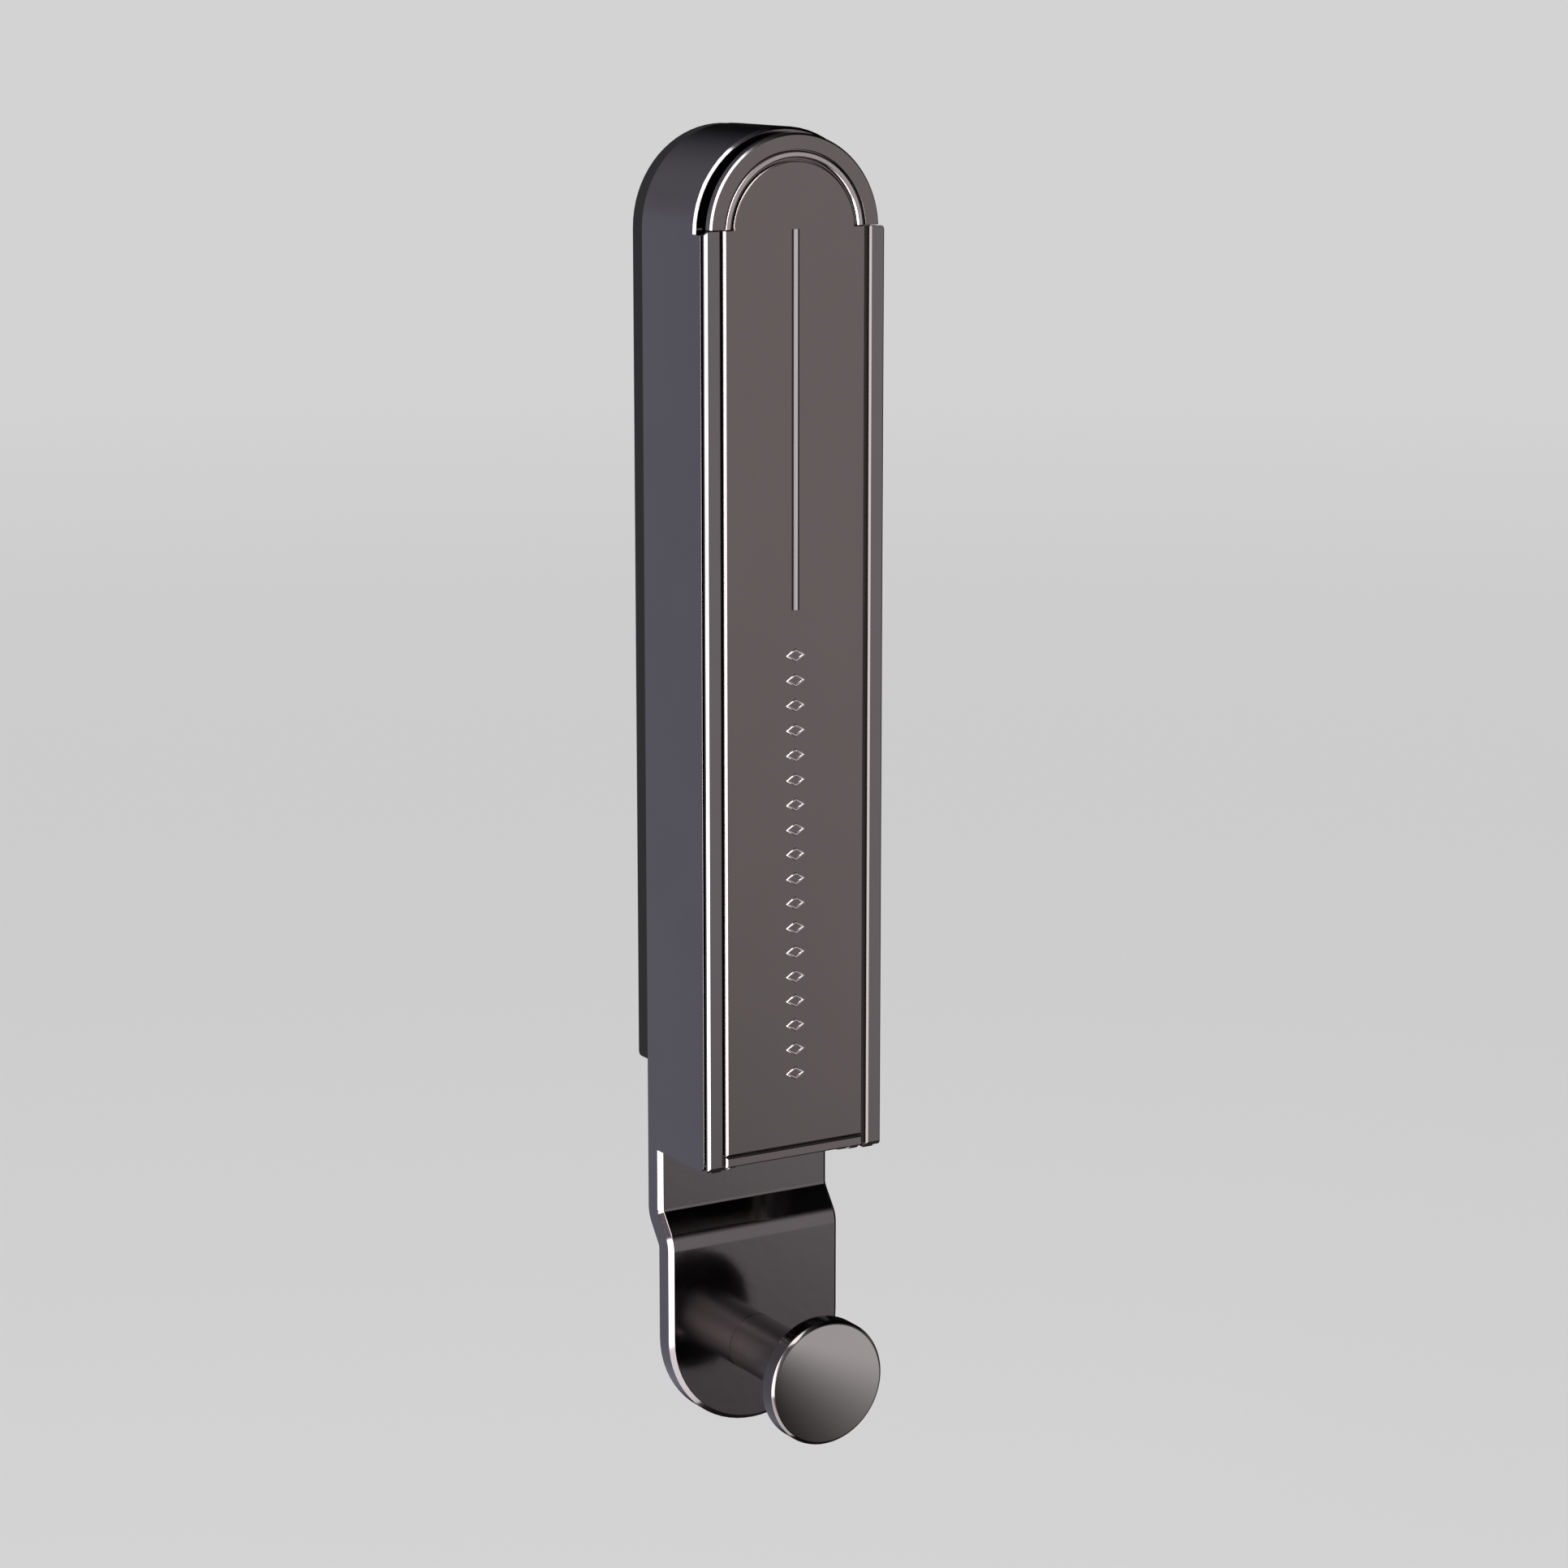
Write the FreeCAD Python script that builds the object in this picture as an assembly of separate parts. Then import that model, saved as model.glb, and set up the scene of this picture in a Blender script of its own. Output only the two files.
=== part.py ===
"""Wall-mounted folding drying rack: a slim cast body with a coat knob, and a hinged arm that swings down.

Lengths are millimetres. Points are written as x (to the right), depth (out from the wall) and height
(above the tail's lowest point). The frame's origin lies on the wall, midway between the two wall screws,
with +Y into the wall and +Z up. The arm is drawn closed, upright against the body, and swings forward and
down about the hinge pin.
"""

import FreeCAD
import Part
import math
import os

# Body, from the wall outwards
TOTAL_HEIGHT = 250.0
BODY_WIDTH = 37.8
BODY_DEPTH = 25.3  # front edges of the straight side walls
ARCH_DEPTH = 22.9  # front edge of the arched top, set back to leave a finger gap
PLATE_THICKNESS = 4.4
WALL_THICKNESS = 1.8
FLOOR_CHAMFER = 1.0
ARCH_CHAMFER = 0.5
PAD_THICKNESS = 3.7
PAD_BOTTOM = 72.8
PAD_CORNER = 1.3
PAD_INSET = 0.15

# Tail below the body, stepped forward and rounded
STEP_FORWARD = 4.1
STEP_TOP = 44.0
STEP_BOTTOM = 38.6
BEND_RADIUS = 1.0
TAIL_CHAMFER = 0.9

# Wall screws: one above the hinge bracket, one below the magnet catch
SCREW_ABOVE_BRACKET = 9.0
SCREW_BELOW_CATCH = 15.0
WALL_HOLE_RADIUS = 2.25
WALL_SINK_RADIUS = 4.3

# Coat knob
KNOB_HEIGHT = 15.5
KNOB_REACH = 26.9  # from the tail's front face to the rim of the head
KNOB_POST_RADIUS = 5.7
KNOB_HEAD_RADIUS = 12.2
KNOB_HEAD_THICKNESS = 4.6
KNOB_EDGE_BEVEL = 0.6
KNOB_DOME = 0.7
KNOB_BACK_BEVEL = 0.8
KNOB_SCREW_RADIUS = 2.0
KNOB_SCREW_GRIP = 9.0
KNOB_SCREW_SINK = 3.9

# Hinge
HINGE_HEIGHT = 58.2
HINGE_SETBACK = 2.1  # axis behind the side walls' front edges, and the round of their lower corners
PIN_RADIUS = 1.5
PIN_FIT = 0.05
PIN_END = 0.3  # each pin stands this far out of the arm's cheeks
SWING_GAP = 0.3
STOP_RADIUS = 9.5
STOP_SETBACK = 0.2
EAR_THICKNESS = 1.6
BRACKET_RISE = 2.8  # from the hinge axis up to the bracket's foot
BRACKET_LENGTH = 25.0
WASHER_THICKNESS = 0.4
WASHER_PLAY = 0.1
WASHER_RADIUS = 2.6
BRACKET_SCREW_MARGIN = 8.0  # lower screw above the foot's lower end
BRACKET_SCREW_PITCH = 12.0
BRACKET_SCREW_RADIUS = 2.0
BRACKET_HEAD_RADIUS = 3.5
BRACKET_HEAD_HEIGHT = 2.4
THREAD_DEPTH = 3.4
THREAD_END_GAP = 0.4

# Arm section
CHEEK_PLAY = 1.7  # between the arm's cheeks and the body's side walls
CHEEK_THICKNESS = 1.8
CHEEK_REAR_GAP = 2.2  # between the cheeks' rear edges and the body's floor
CHEEK_HEEL = 3.2  # cheek below the hinge axis, under the stop slot
HEEL_CORNER = 3.0
LUG_WALL = 1.1
RAIL_OVERHANG = 0.15
RAIL_WIDTH = 3.25
RAIL_LIP = 0.9
RAIL_UNDERCUT = 1.2
SHADOW_GAP = 1.2  # between the side walls' front edges and the rails' lips
RAIL_OUTER_BEVEL = 0.45
RAIL_INNER_BEVEL = 0.35
RAIL_BELOW_HINGE = 2.0
RAIL_FOOT_BEVEL = 1.3
RAIL_TOP_ROUND = 0.6
ARM_ABOVE_ARCH_CENTRE = 0.7
SEAT_THICKNESS = 1.2

# Hanger notches in the cheeks' rear edges
NOTCH_PITCH = 25.0
NOTCH_ABOVE_BRACKET = 10.0
NOTCH_BELOW_CATCH = 20.0
NOTCH_WIDTH = 6.0
NOTCH_DEPTH = 5.0
NOTCH_MOUTH_BEVEL = 1.0

# Front panel, its adhesive tape and the strip below it
PANEL_SINK = 0.3
PANEL_THICKNESS = 0.8
PANEL_SIDE_GAP = 0.8
PANEL_BEVEL = 0.4
PANEL_ARCH_RADIUS = 12.85
PANEL_ARCH_GAP = 0.25
LINE_WIDTH = 0.7
LINE_DEPTH = 0.3
LINE_LENGTH = 69.9
TAPE_THICKNESS = 0.3
TAPE_MARGIN = 2.5
FOOT_STRIP_BELOW_HINGE = 1.2
FOOT_STRIP_HEIGHT = 2.0
FOOT_STRIP_GAP = 0.2
FOOT_STRIP_BEVEL = 0.3

# Arched end cap of the arm
CAP_RADIUS = 17.9
CAP_SINK = 0.2
CAP_THICKNESS = 1.8
CAP_JOINT = 0.2
CAP_BEVEL = 0.4
CAP_BAND_WIDTH = 2.95
CAP_RECESS = 0.8
BEAD_CENTRE_RADIUS = 14.05
BEAD_WIDTH = 1.3
BEAD_HEIGHT = 0.6
BEAD_BEVEL = 0.3
TONGUE_PLAY = 0.5
TONGUE_THICKNESS = 2.6
TONGUE_MARGIN = 2.0  # tongue below the strike plate
TONGUE_KNEE = 4.0
CAP_SCREW_X = 9.8
CAP_SCREW_RADIUS = 1.25
CAP_SCREW_HEAD = 2.35

# Magnet catch
CATCH_DROP = 11.8  # below the arm's top
CATCH_GAP = 0.3
MAGNET_RADIUS = 4.0
MAGNET_THICKNESS = 3.0
HOLDER_WIDTH = 13.0
HOLDER_HEIGHT = 12.0
HOLDER_FLANGE = 2.0
HOLDER_FLANGE_WIDTH = 24.0
HOLDER_CORNER = 1.0
HOLDER_SCREW_X = 9.3
HOLDER_SCREW_RADIUS = 1.5
HOLDER_HEAD_RADIUS = 2.5
HOLDER_HEAD_HEIGHT = 1.9
STRIKE_SIZE = 14.0
STRIKE_THICKNESS = 1.0
STRIKE_RECESS = 0.6

# Rubber bumpers under the arm, each midway between two notches
BUMPER_RADIUS = 1.6

# Values that follow from the sizes above
HALF_WIDTH = BODY_WIDTH / 2
INNER_HALF = HALF_WIDTH - WALL_THICKNESS
ARCH_CENTRE = TOTAL_HEIGHT - HALF_WIDTH
PLATE_FRONT = PAD_THICKNESS + PLATE_THICKNESS
TAIL_BACK = PAD_THICKNESS + STEP_FORWARD
TAIL_FRONT = PLATE_FRONT + STEP_FORWARD
ARM_TOP = ARCH_CENTRE + ARM_ABOVE_ARCH_CENTRE
CATCH_HEIGHT = ARM_TOP - CATCH_DROP
BRACKET_BOTTOM = HINGE_HEIGHT + BRACKET_RISE
BRACKET_TOP = BRACKET_BOTTOM + BRACKET_LENGTH
BRACKET_SCREWS = (
    BRACKET_BOTTOM + BRACKET_SCREW_MARGIN,
    BRACKET_BOTTOM + BRACKET_SCREW_MARGIN + BRACKET_SCREW_PITCH,
)
LOWER_SCREW_HEIGHT = BRACKET_TOP + SCREW_ABOVE_BRACKET
UPPER_SCREW_HEIGHT = CATCH_HEIGHT - SCREW_BELOW_CATCH
ORIGIN_HEIGHT = (LOWER_SCREW_HEIGHT + UPPER_SCREW_HEIGHT) / 2
RAIL_BOTTOM = HINGE_HEIGHT - RAIL_BELOW_HINGE
FOOT_STRIP_BOTTOM = HINGE_HEIGHT - FOOT_STRIP_BELOW_HINGE
PANEL_BOTTOM = FOOT_STRIP_BOTTOM + FOOT_STRIP_HEIGHT + FOOT_STRIP_GAP
NOTCH_FIRST = BRACKET_TOP + NOTCH_ABOVE_BRACKET
NOTCH_COUNT = 1 + int((CATCH_HEIGHT - NOTCH_BELOW_CATCH - NOTCH_FIRST) // NOTCH_PITCH)
HINGE_DEPTH = BODY_DEPTH - HINGE_SETBACK
WALL_BOTTOM = HINGE_HEIGHT - HINGE_SETBACK
STOP_DEPTH = HINGE_DEPTH - STOP_SETBACK
STOP_HEIGHT = HINGE_HEIGHT + math.sqrt(STOP_RADIUS**2 - STOP_SETBACK**2)
CHEEK_OUT = INNER_HALF - CHEEK_PLAY
CHEEK_IN = CHEEK_OUT - CHEEK_THICKNESS
EAR_OUT = CHEEK_IN - WASHER_THICKNESS - WASHER_PLAY
EAR_IN = EAR_OUT - EAR_THICKNESS
CHEEK_BACK = PLATE_FRONT + CHEEK_REAR_GAP
RAIL_OUT = HALF_WIDTH + RAIL_OVERHANG
RAIL_IN = RAIL_OUT - RAIL_WIDTH
RAIL_BACK = BODY_DEPTH + SWING_GAP
LIP_BACK = BODY_DEPTH + SHADOW_GAP
RAIL_FRONT = LIP_BACK + RAIL_LIP
PANEL_FRONT = RAIL_FRONT - PANEL_SINK
PANEL_BACK = PANEL_FRONT - PANEL_THICKNESS
SEAT_FRONT = PANEL_BACK - TAPE_THICKNESS
SEAT_BACK = SEAT_FRONT - SEAT_THICKNESS
PANEL_HALF = RAIL_IN - PANEL_SIDE_GAP
EAR_LUG = SEAT_FRONT - HINGE_DEPTH - SWING_GAP
CAP_FRONT = RAIL_FRONT - CAP_SINK
CAP_BACK = CAP_FRONT - CAP_THICKNESS
CAP_BOTTOM = ARM_TOP + CAP_JOINT
TONGUE_BACK = SEAT_BACK - TONGUE_THICKNESS
STRIKE_FRONT = TONGUE_BACK + STRIKE_RECESS
STRIKE_BACK = STRIKE_FRONT - STRIKE_THICKNESS
MAGNET_FRONT = STRIKE_BACK - CATCH_GAP
PAST = 1.0  # how far a cutting tool runs past the face it cuts


def point(x, depth, height):
    """A point of the frame, from its place across, out from the wall and up."""
    return FreeCAD.Vector(x, -depth, height - ORIGIN_HEIGHT)


def rounded_wire(corners, place):
    """A closed wire through corners (u, v) or (u, v, radius), where place(u, v) gives each point."""
    count = len(corners)
    spans = []
    for i in range(count):
        before, corner, after = corners[i - 1], corners[i], corners[(i + 1) % count]
        radius = corner[2] if len(corner) > 2 else 0.0
        to_before = math.atan2(before[1] - corner[1], before[0] - corner[0])
        to_after = math.atan2(after[1] - corner[1], after[0] - corner[0])
        half_angle = abs((to_after - to_before + math.pi) % (2 * math.pi) - math.pi) / 2
        run = radius / math.tan(half_angle) if radius else 0.0
        start = (corner[0] + run * math.cos(to_before), corner[1] + run * math.sin(to_before))
        end = (corner[0] + run * math.cos(to_after), corner[1] + run * math.sin(to_after))
        middle = None
        if radius:
            bisector = math.atan2(
                math.sin(to_before) + math.sin(to_after), math.cos(to_before) + math.cos(to_after)
            )
            reach = radius / math.sin(half_angle) - radius
            middle = (corner[0] + reach * math.cos(bisector), corner[1] + reach * math.sin(bisector))
        spans.append((start, middle, end))
    edges = []
    for i, (start, middle, end) in enumerate(spans):
        if middle:
            edges.append(Part.Arc(place(*start), place(*middle), place(*end)).toShape())
        following = place(*spans[(i + 1) % count][0])
        if place(*end).distanceToPoint(following) > 1e-6:
            edges.append(Part.LineSegment(place(*end), following).toShape())
    return Part.Wire(edges)


def front_plate(corners, depth_from, depth_to):
    """A plate parallel to the wall, from an outline in x and height."""
    wire = rounded_wire(corners, lambda x, height: point(x, depth_from, height))
    return Part.Face(wire).extrude(FreeCAD.Vector(0, depth_from - depth_to, 0))


def side_plate(corners, x_from, x_to):
    """A plate square to the wall, from an outline in depth and height."""
    wire = rounded_wire(corners, lambda depth, height: point(x_from, depth, height))
    return Part.Face(wire).extrude(FreeCAD.Vector(x_to - x_from, 0, 0))


def bar(corners, height_from, height_to):
    """An upright bar, from a section in x and depth."""
    wire = rounded_wire(corners, lambda x, depth: point(x, depth, height_from))
    return Part.Face(wire).extrude(FreeCAD.Vector(0, 0, height_to - height_from))


def block(x_from, x_to, depth_from, depth_to, height_from, height_to):
    """A box between two corners."""
    corners = [(x_from, height_from), (x_to, height_from), (x_to, height_to), (x_from, height_to)]
    return front_plate(corners, depth_from, depth_to)


def rod_out(radius, x, height, depth_from, depth_to, end_radius=None):
    """A rod, or a cone where end_radius is given, that stands out from the wall."""
    start = point(x, depth_from, height)
    length = depth_to - depth_from
    if end_radius is None:
        return Part.makeCylinder(radius, length, start, FreeCAD.Vector(0, -1, 0))
    return Part.makeCone(radius, end_radius, length, start, FreeCAD.Vector(0, -1, 0))


def rod_across(radius, depth, height, x_from, x_to):
    """A rod that lies across the body."""
    return Part.makeCylinder(radius, x_to - x_from, point(x_from, depth, height), FreeCAD.Vector(1, 0, 0))


def turned(profile, depth, height):
    """A piece turned about an axis square to the wall, from lines and arcs in radius and distance out."""

    def place(radius, out):
        return point(radius, depth + out, height)

    edges = []
    for piece in profile:
        ends = [place(*spot) for spot in piece]
        make = Part.Arc if len(ends) == 3 else Part.LineSegment
        edges.append(make(*ends).toShape())
    section = Part.Face(Part.Wire(edges))
    return section.revolve(point(0, depth, height), FreeCAD.Vector(0, 1, 0), 360)


def both_sides(solid):
    """The solid and its mirror image about the middle plane."""
    return [solid, solid.mirror(FreeCAD.Vector(0, 0, 0), FreeCAD.Vector(1, 0, 0))]


def arch(half_width, bottom, top, top_radius=None):
    """The corners of an upright plate with a round top."""
    radius = half_width if top_radius is None else top_radius
    return [
        (-half_width, bottom),
        (half_width, bottom),
        (half_width, top, radius),
        (-half_width, top, radius),
    ]


def edges_where(solid, test):
    """The edges whose middle passes the test, which takes x, depth and height."""
    found = []
    for edge in solid.Edges:
        spot = edge.valueAt((edge.FirstParameter + edge.LastParameter) / 2)
        if test(spot.x, -spot.y, spot.z + ORIGIN_HEIGHT):
            found.append(edge)
    return found


def near(value, target, slack=0.02):
    """Whether two sizes agree."""
    return abs(value - target) < slack


def plate_and_tail():
    """The back plate, stepped forward into the round tail that carries the knob."""
    slope = math.atan2(STEP_FORWARD, STEP_TOP - STEP_BOTTOM)
    back_shift = PLATE_THICKNESS * math.tan(slope / 2)
    outer_bend = BEND_RADIUS + PLATE_THICKNESS
    section = side_plate(
        [
            (PAD_THICKNESS, TOTAL_HEIGHT),
            (PAD_THICKNESS, STEP_TOP - back_shift, outer_bend),
            (TAIL_BACK, STEP_BOTTOM - back_shift, BEND_RADIUS),
            (TAIL_BACK, 0.0),
            (TAIL_FRONT, 0.0),
            (TAIL_FRONT, STEP_BOTTOM, outer_bend),
            (PLATE_FRONT, STEP_TOP, BEND_RADIUS),
            (PLATE_FRONT, TOTAL_HEIGHT),
        ],
        -HALF_WIDTH,
        HALF_WIDTH,
    )
    shape = [
        (-HALF_WIDTH, 0.0, HALF_WIDTH),
        (HALF_WIDTH, 0.0, HALF_WIDTH),
        (HALF_WIDTH, TOTAL_HEIGHT, HALF_WIDTH),
        (-HALF_WIDTH, TOTAL_HEIGHT, HALF_WIDTH),
    ]
    return section.common(front_plate(shape, 0.0, TAIL_FRONT + PAST))


def body_walls():
    """The side walls and the arch that joins them, with lower corners rounded about the hinge axis."""
    rim = front_plate(arch(HALF_WIDTH, WALL_BOTTOM, TOTAL_HEIGHT), PLATE_FRONT - PAST, ARCH_DEPTH)
    cheek = side_plate(
        [
            (PLATE_FRONT - PAST, WALL_BOTTOM),
            (BODY_DEPTH, WALL_BOTTOM, HINGE_SETBACK),
            (BODY_DEPTH, ARCH_CENTRE),
            (PLATE_FRONT - PAST, ARCH_CENTRE),
        ],
        INNER_HALF,
        HALF_WIDTH,
    )
    hollow = front_plate(
        arch(INNER_HALF, WALL_BOTTOM - PAST, TOTAL_HEIGHT - WALL_THICKNESS), PLATE_FRONT, BODY_DEPTH + PAST
    )
    return rim.fuse(both_sides(cheek)).cut(hollow)


def screw_heights():
    """The heights of the two wall screws."""
    return [LOWER_SCREW_HEIGHT, UPPER_SCREW_HEIGHT]


def base_tray():
    """The cast body: back plate, side walls, arched top and tail in one piece."""
    tray = plate_and_tail().fuse(body_walls()).removeSplitter()

    def on_tail_rim(x, depth, height):
        if height > WALL_BOTTOM - 0.1:
            return False
        bottom = HALF_WIDTH - math.sqrt(max(HALF_WIDTH**2 - x**2, 0.0))
        on_side = near(abs(x), HALF_WIDTH) or near(height, bottom)
        front = depth > PLATE_FRONT - 0.02 if height > STEP_BOTTOM else near(depth, TAIL_FRONT)
        return on_side and front

    def on_arch_rim(x, depth, height):
        return near(depth, ARCH_DEPTH) and near(math.hypot(x, height - ARCH_CENTRE), HALF_WIDTH)

    def on_floor_corner(x, depth, height):
        side = near(abs(x), INNER_HALF) and height < ARCH_CENTRE
        top = near(math.hypot(x, height - ARCH_CENTRE), INNER_HALF)
        return near(depth, PLATE_FRONT) and (side or top)

    tray = tray.makeChamfer(TAIL_CHAMFER, edges_where(tray, on_tail_rim))
    tray = tray.makeChamfer(ARCH_CHAMFER, edges_where(tray, on_arch_rim))
    tray = tray.makeChamfer(FLOOR_CHAMFER, edges_where(tray, on_floor_corner))
    cuts = []
    for height in screw_heights():
        cuts.append(rod_out(WALL_HOLE_RADIUS, 0, height, 0, PLATE_FRONT + PAST))
        sink_depth = WALL_SINK_RADIUS - WALL_HOLE_RADIUS
        cuts.append(
            rod_out(WALL_HOLE_RADIUS, 0, height, PLATE_FRONT - sink_depth, PLATE_FRONT, WALL_SINK_RADIUS)
        )
    for height in BRACKET_SCREWS:
        cuts.append(rod_out(BRACKET_SCREW_RADIUS, 0, height, PLATE_FRONT - THREAD_DEPTH, PLATE_FRONT))
    for x in (-HOLDER_SCREW_X, HOLDER_SCREW_X):
        cuts.append(rod_out(HOLDER_SCREW_RADIUS, x, CATCH_HEIGHT, PLATE_FRONT - THREAD_DEPTH, PLATE_FRONT))
    sink_depth = KNOB_SCREW_SINK - KNOB_SCREW_RADIUS
    cuts.append(rod_out(KNOB_SCREW_RADIUS, 0, KNOB_HEIGHT, 0, TAIL_FRONT + PAST))
    cuts.append(
        rod_out(KNOB_SCREW_SINK, 0, KNOB_HEIGHT, TAIL_BACK, TAIL_BACK + sink_depth, KNOB_SCREW_RADIUS)
    )
    return tray.cut(cuts)


def wall_pad():
    """The black pad between the wall and the back plate."""
    half = HALF_WIDTH - PAD_INSET
    outline = [
        (-half, PAD_BOTTOM, PAD_CORNER),
        (half, PAD_BOTTOM, PAD_CORNER),
        (half, TOTAL_HEIGHT - PAD_INSET, half),
        (-half, TOTAL_HEIGHT - PAD_INSET, half),
    ]
    pad = front_plate(outline, 0.0, PAD_THICKNESS)
    holes = [
        rod_out(WALL_HOLE_RADIUS, 0, height, -PAST, PAD_THICKNESS + PAST) for height in screw_heights()
    ]
    return pad.cut(holes)


def knob():
    """The coat knob, turned in one piece: post, head with bevelled edges, and a slightly domed face."""
    head_back = KNOB_REACH - KNOB_HEAD_THICKNESS
    bevel = KNOB_BACK_BEVEL
    rim = KNOB_HEAD_RADIUS
    edge = KNOB_EDGE_BEVEL
    bore_end = KNOB_SCREW_GRIP + THREAD_END_GAP
    dome_rim = (rim - edge, KNOB_REACH)
    dome_radius = (dome_rim[0] ** 2 + KNOB_DOME**2) / (2 * KNOB_DOME)
    half_turn = math.asin(dome_rim[0] / dome_radius) / 2
    dome_drop = dome_radius * (1 - math.cos(half_turn))
    dome_middle = (dome_radius * math.sin(half_turn), KNOB_REACH + KNOB_DOME - dome_drop)
    return turned(
        [
            [(KNOB_SCREW_RADIUS, 0), (KNOB_POST_RADIUS, 0)],
            [(KNOB_POST_RADIUS, 0), (KNOB_POST_RADIUS, head_back - bevel)],
            [(KNOB_POST_RADIUS, head_back - bevel), (KNOB_POST_RADIUS + bevel, head_back)],
            [(KNOB_POST_RADIUS + bevel, head_back), (rim - bevel, head_back)],
            [(rim - bevel, head_back), (rim, head_back + bevel)],
            [(rim, head_back + bevel), (rim, KNOB_REACH - edge)],
            [(rim, KNOB_REACH - edge), dome_rim],
            [dome_rim, dome_middle, (0, KNOB_REACH + KNOB_DOME)],
            [(0, KNOB_REACH + KNOB_DOME), (0, bore_end)],
            [(0, bore_end), (KNOB_SCREW_RADIUS, bore_end)],
            [(KNOB_SCREW_RADIUS, bore_end), (KNOB_SCREW_RADIUS, 0)],
        ],
        TAIL_FRONT,
        KNOB_HEIGHT,
    )


def knob_screw():
    """The countersunk screw that holds the knob from behind the tail."""
    sink_depth = KNOB_SCREW_SINK - KNOB_SCREW_RADIUS
    shank = rod_out(KNOB_SCREW_RADIUS, 0, KNOB_HEIGHT, TAIL_BACK, TAIL_FRONT + KNOB_SCREW_GRIP)
    head = rod_out(KNOB_SCREW_SINK, 0, KNOB_HEIGHT, TAIL_BACK, TAIL_BACK + sink_depth, KNOB_SCREW_RADIUS)
    return shank.fuse(head).removeSplitter()


def hinge_bracket():
    """The folded steel bracket: a foot on the body's floor and two ears that carry both pins."""
    foot_front = PLATE_FRONT + EAR_THICKNESS
    ear_outline = [
        (PLATE_FRONT, BRACKET_BOTTOM),
        (HINGE_DEPTH, HINGE_HEIGHT - EAR_LUG),
        (HINGE_DEPTH + EAR_LUG, HINGE_HEIGHT - EAR_LUG, EAR_LUG),
        (HINGE_DEPTH + EAR_LUG, STOP_HEIGHT + EAR_LUG, EAR_LUG),
        (HINGE_DEPTH - EAR_LUG, STOP_HEIGHT + EAR_LUG, EAR_LUG),
        (PLATE_FRONT, BRACKET_TOP),
    ]
    ear = side_plate(ear_outline, EAR_IN, EAR_OUT)
    foot = block(-EAR_OUT, EAR_OUT, PLATE_FRONT, foot_front, BRACKET_BOTTOM, BRACKET_TOP)
    bracket = foot.fuse(both_sides(ear)).removeSplitter()
    cuts = [
        rod_across(PIN_RADIUS, HINGE_DEPTH, HINGE_HEIGHT, -EAR_OUT - PAST, EAR_OUT + PAST),
        rod_across(PIN_RADIUS, STOP_DEPTH, STOP_HEIGHT, -EAR_OUT - PAST, EAR_OUT + PAST),
    ]
    for height in BRACKET_SCREWS:
        cuts.append(rod_out(BRACKET_SCREW_RADIUS, 0, height, PLATE_FRONT - PAST, foot_front + PAST))
    return bracket.cut(cuts)


def pan_screw(x, height, seat, radius, head_radius, head_height):
    """A pan-head screw in a blind thread of the body's floor, with its head on the given seat."""
    tip = PLATE_FRONT - THREAD_DEPTH + THREAD_END_GAP
    shank = rod_out(radius, x, height, tip, seat)
    head = rod_out(head_radius, x, height, seat, seat + head_height)
    crown = edges_where(head, lambda ex, depth, eh: near(depth, seat + head_height))
    head = head.makeChamfer(head_height / 3, crown)
    return shank.fuse(head).removeSplitter()


def bracket_screws():
    """The two screws that hold the hinge bracket."""
    seat = PLATE_FRONT + EAR_THICKNESS
    return Part.makeCompound(
        [
            pan_screw(0, height, seat, BRACKET_SCREW_RADIUS, BRACKET_HEAD_RADIUS, BRACKET_HEAD_HEIGHT)
            for height in BRACKET_SCREWS
        ]
    )


def pin(depth, height):
    """A plain pin through both ears and both cheeks."""
    reach = CHEEK_OUT + PIN_END
    return rod_across(PIN_RADIUS, depth, height, -reach, reach)


def hinge_washers():
    """The two nylon washers between the ears and the arm's cheeks."""
    washer = rod_across(WASHER_RADIUS, HINGE_DEPTH, HINGE_HEIGHT, EAR_OUT, EAR_OUT + WASHER_THICKNESS)
    hole = rod_across(PIN_RADIUS, HINGE_DEPTH, HINGE_HEIGHT, EAR_OUT - PAST, CHEEK_OUT)
    return Part.makeCompound(both_sides(washer.cut(hole)))


def magnet_holder():
    """The moulded holder on the body's floor that keeps the catch magnet just behind the strike plate."""
    half_height = HOLDER_HEIGHT / 2
    low, high = CATCH_HEIGHT - half_height, CATCH_HEIGHT + half_height

    def upright(half, depth_from, depth_to):
        corners = [(-half, low), (half, low), (half, high), (-half, high)]
        return front_plate([(x, h, HOLDER_CORNER) for x, h in corners], depth_from, depth_to)

    seat = PLATE_FRONT + HOLDER_FLANGE
    holder = upright(HOLDER_FLANGE_WIDTH / 2, PLATE_FRONT, seat)
    holder = holder.fuse(upright(HOLDER_WIDTH / 2, PLATE_FRONT, MAGNET_FRONT))
    cuts = [rod_out(MAGNET_RADIUS, 0, CATCH_HEIGHT, MAGNET_FRONT - MAGNET_THICKNESS, MAGNET_FRONT + PAST)]
    for x in (-HOLDER_SCREW_X, HOLDER_SCREW_X):
        cuts.append(rod_out(HOLDER_SCREW_RADIUS, x, CATCH_HEIGHT, PLATE_FRONT - PAST, seat + PAST))
    return holder.cut(cuts)


def holder_screws():
    """The two screws that hold the magnet holder."""
    seat = PLATE_FRONT + HOLDER_FLANGE
    return Part.makeCompound(
        [
            pan_screw(x, CATCH_HEIGHT, seat, HOLDER_SCREW_RADIUS, HOLDER_HEAD_RADIUS, HOLDER_HEAD_HEIGHT)
            for x in (-HOLDER_SCREW_X, HOLDER_SCREW_X)
        ]
    )


def magnet():
    """The round catch magnet."""
    return rod_out(MAGNET_RADIUS, 0, CATCH_HEIGHT, MAGNET_FRONT - MAGNET_THICKNESS, MAGNET_FRONT)


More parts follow.
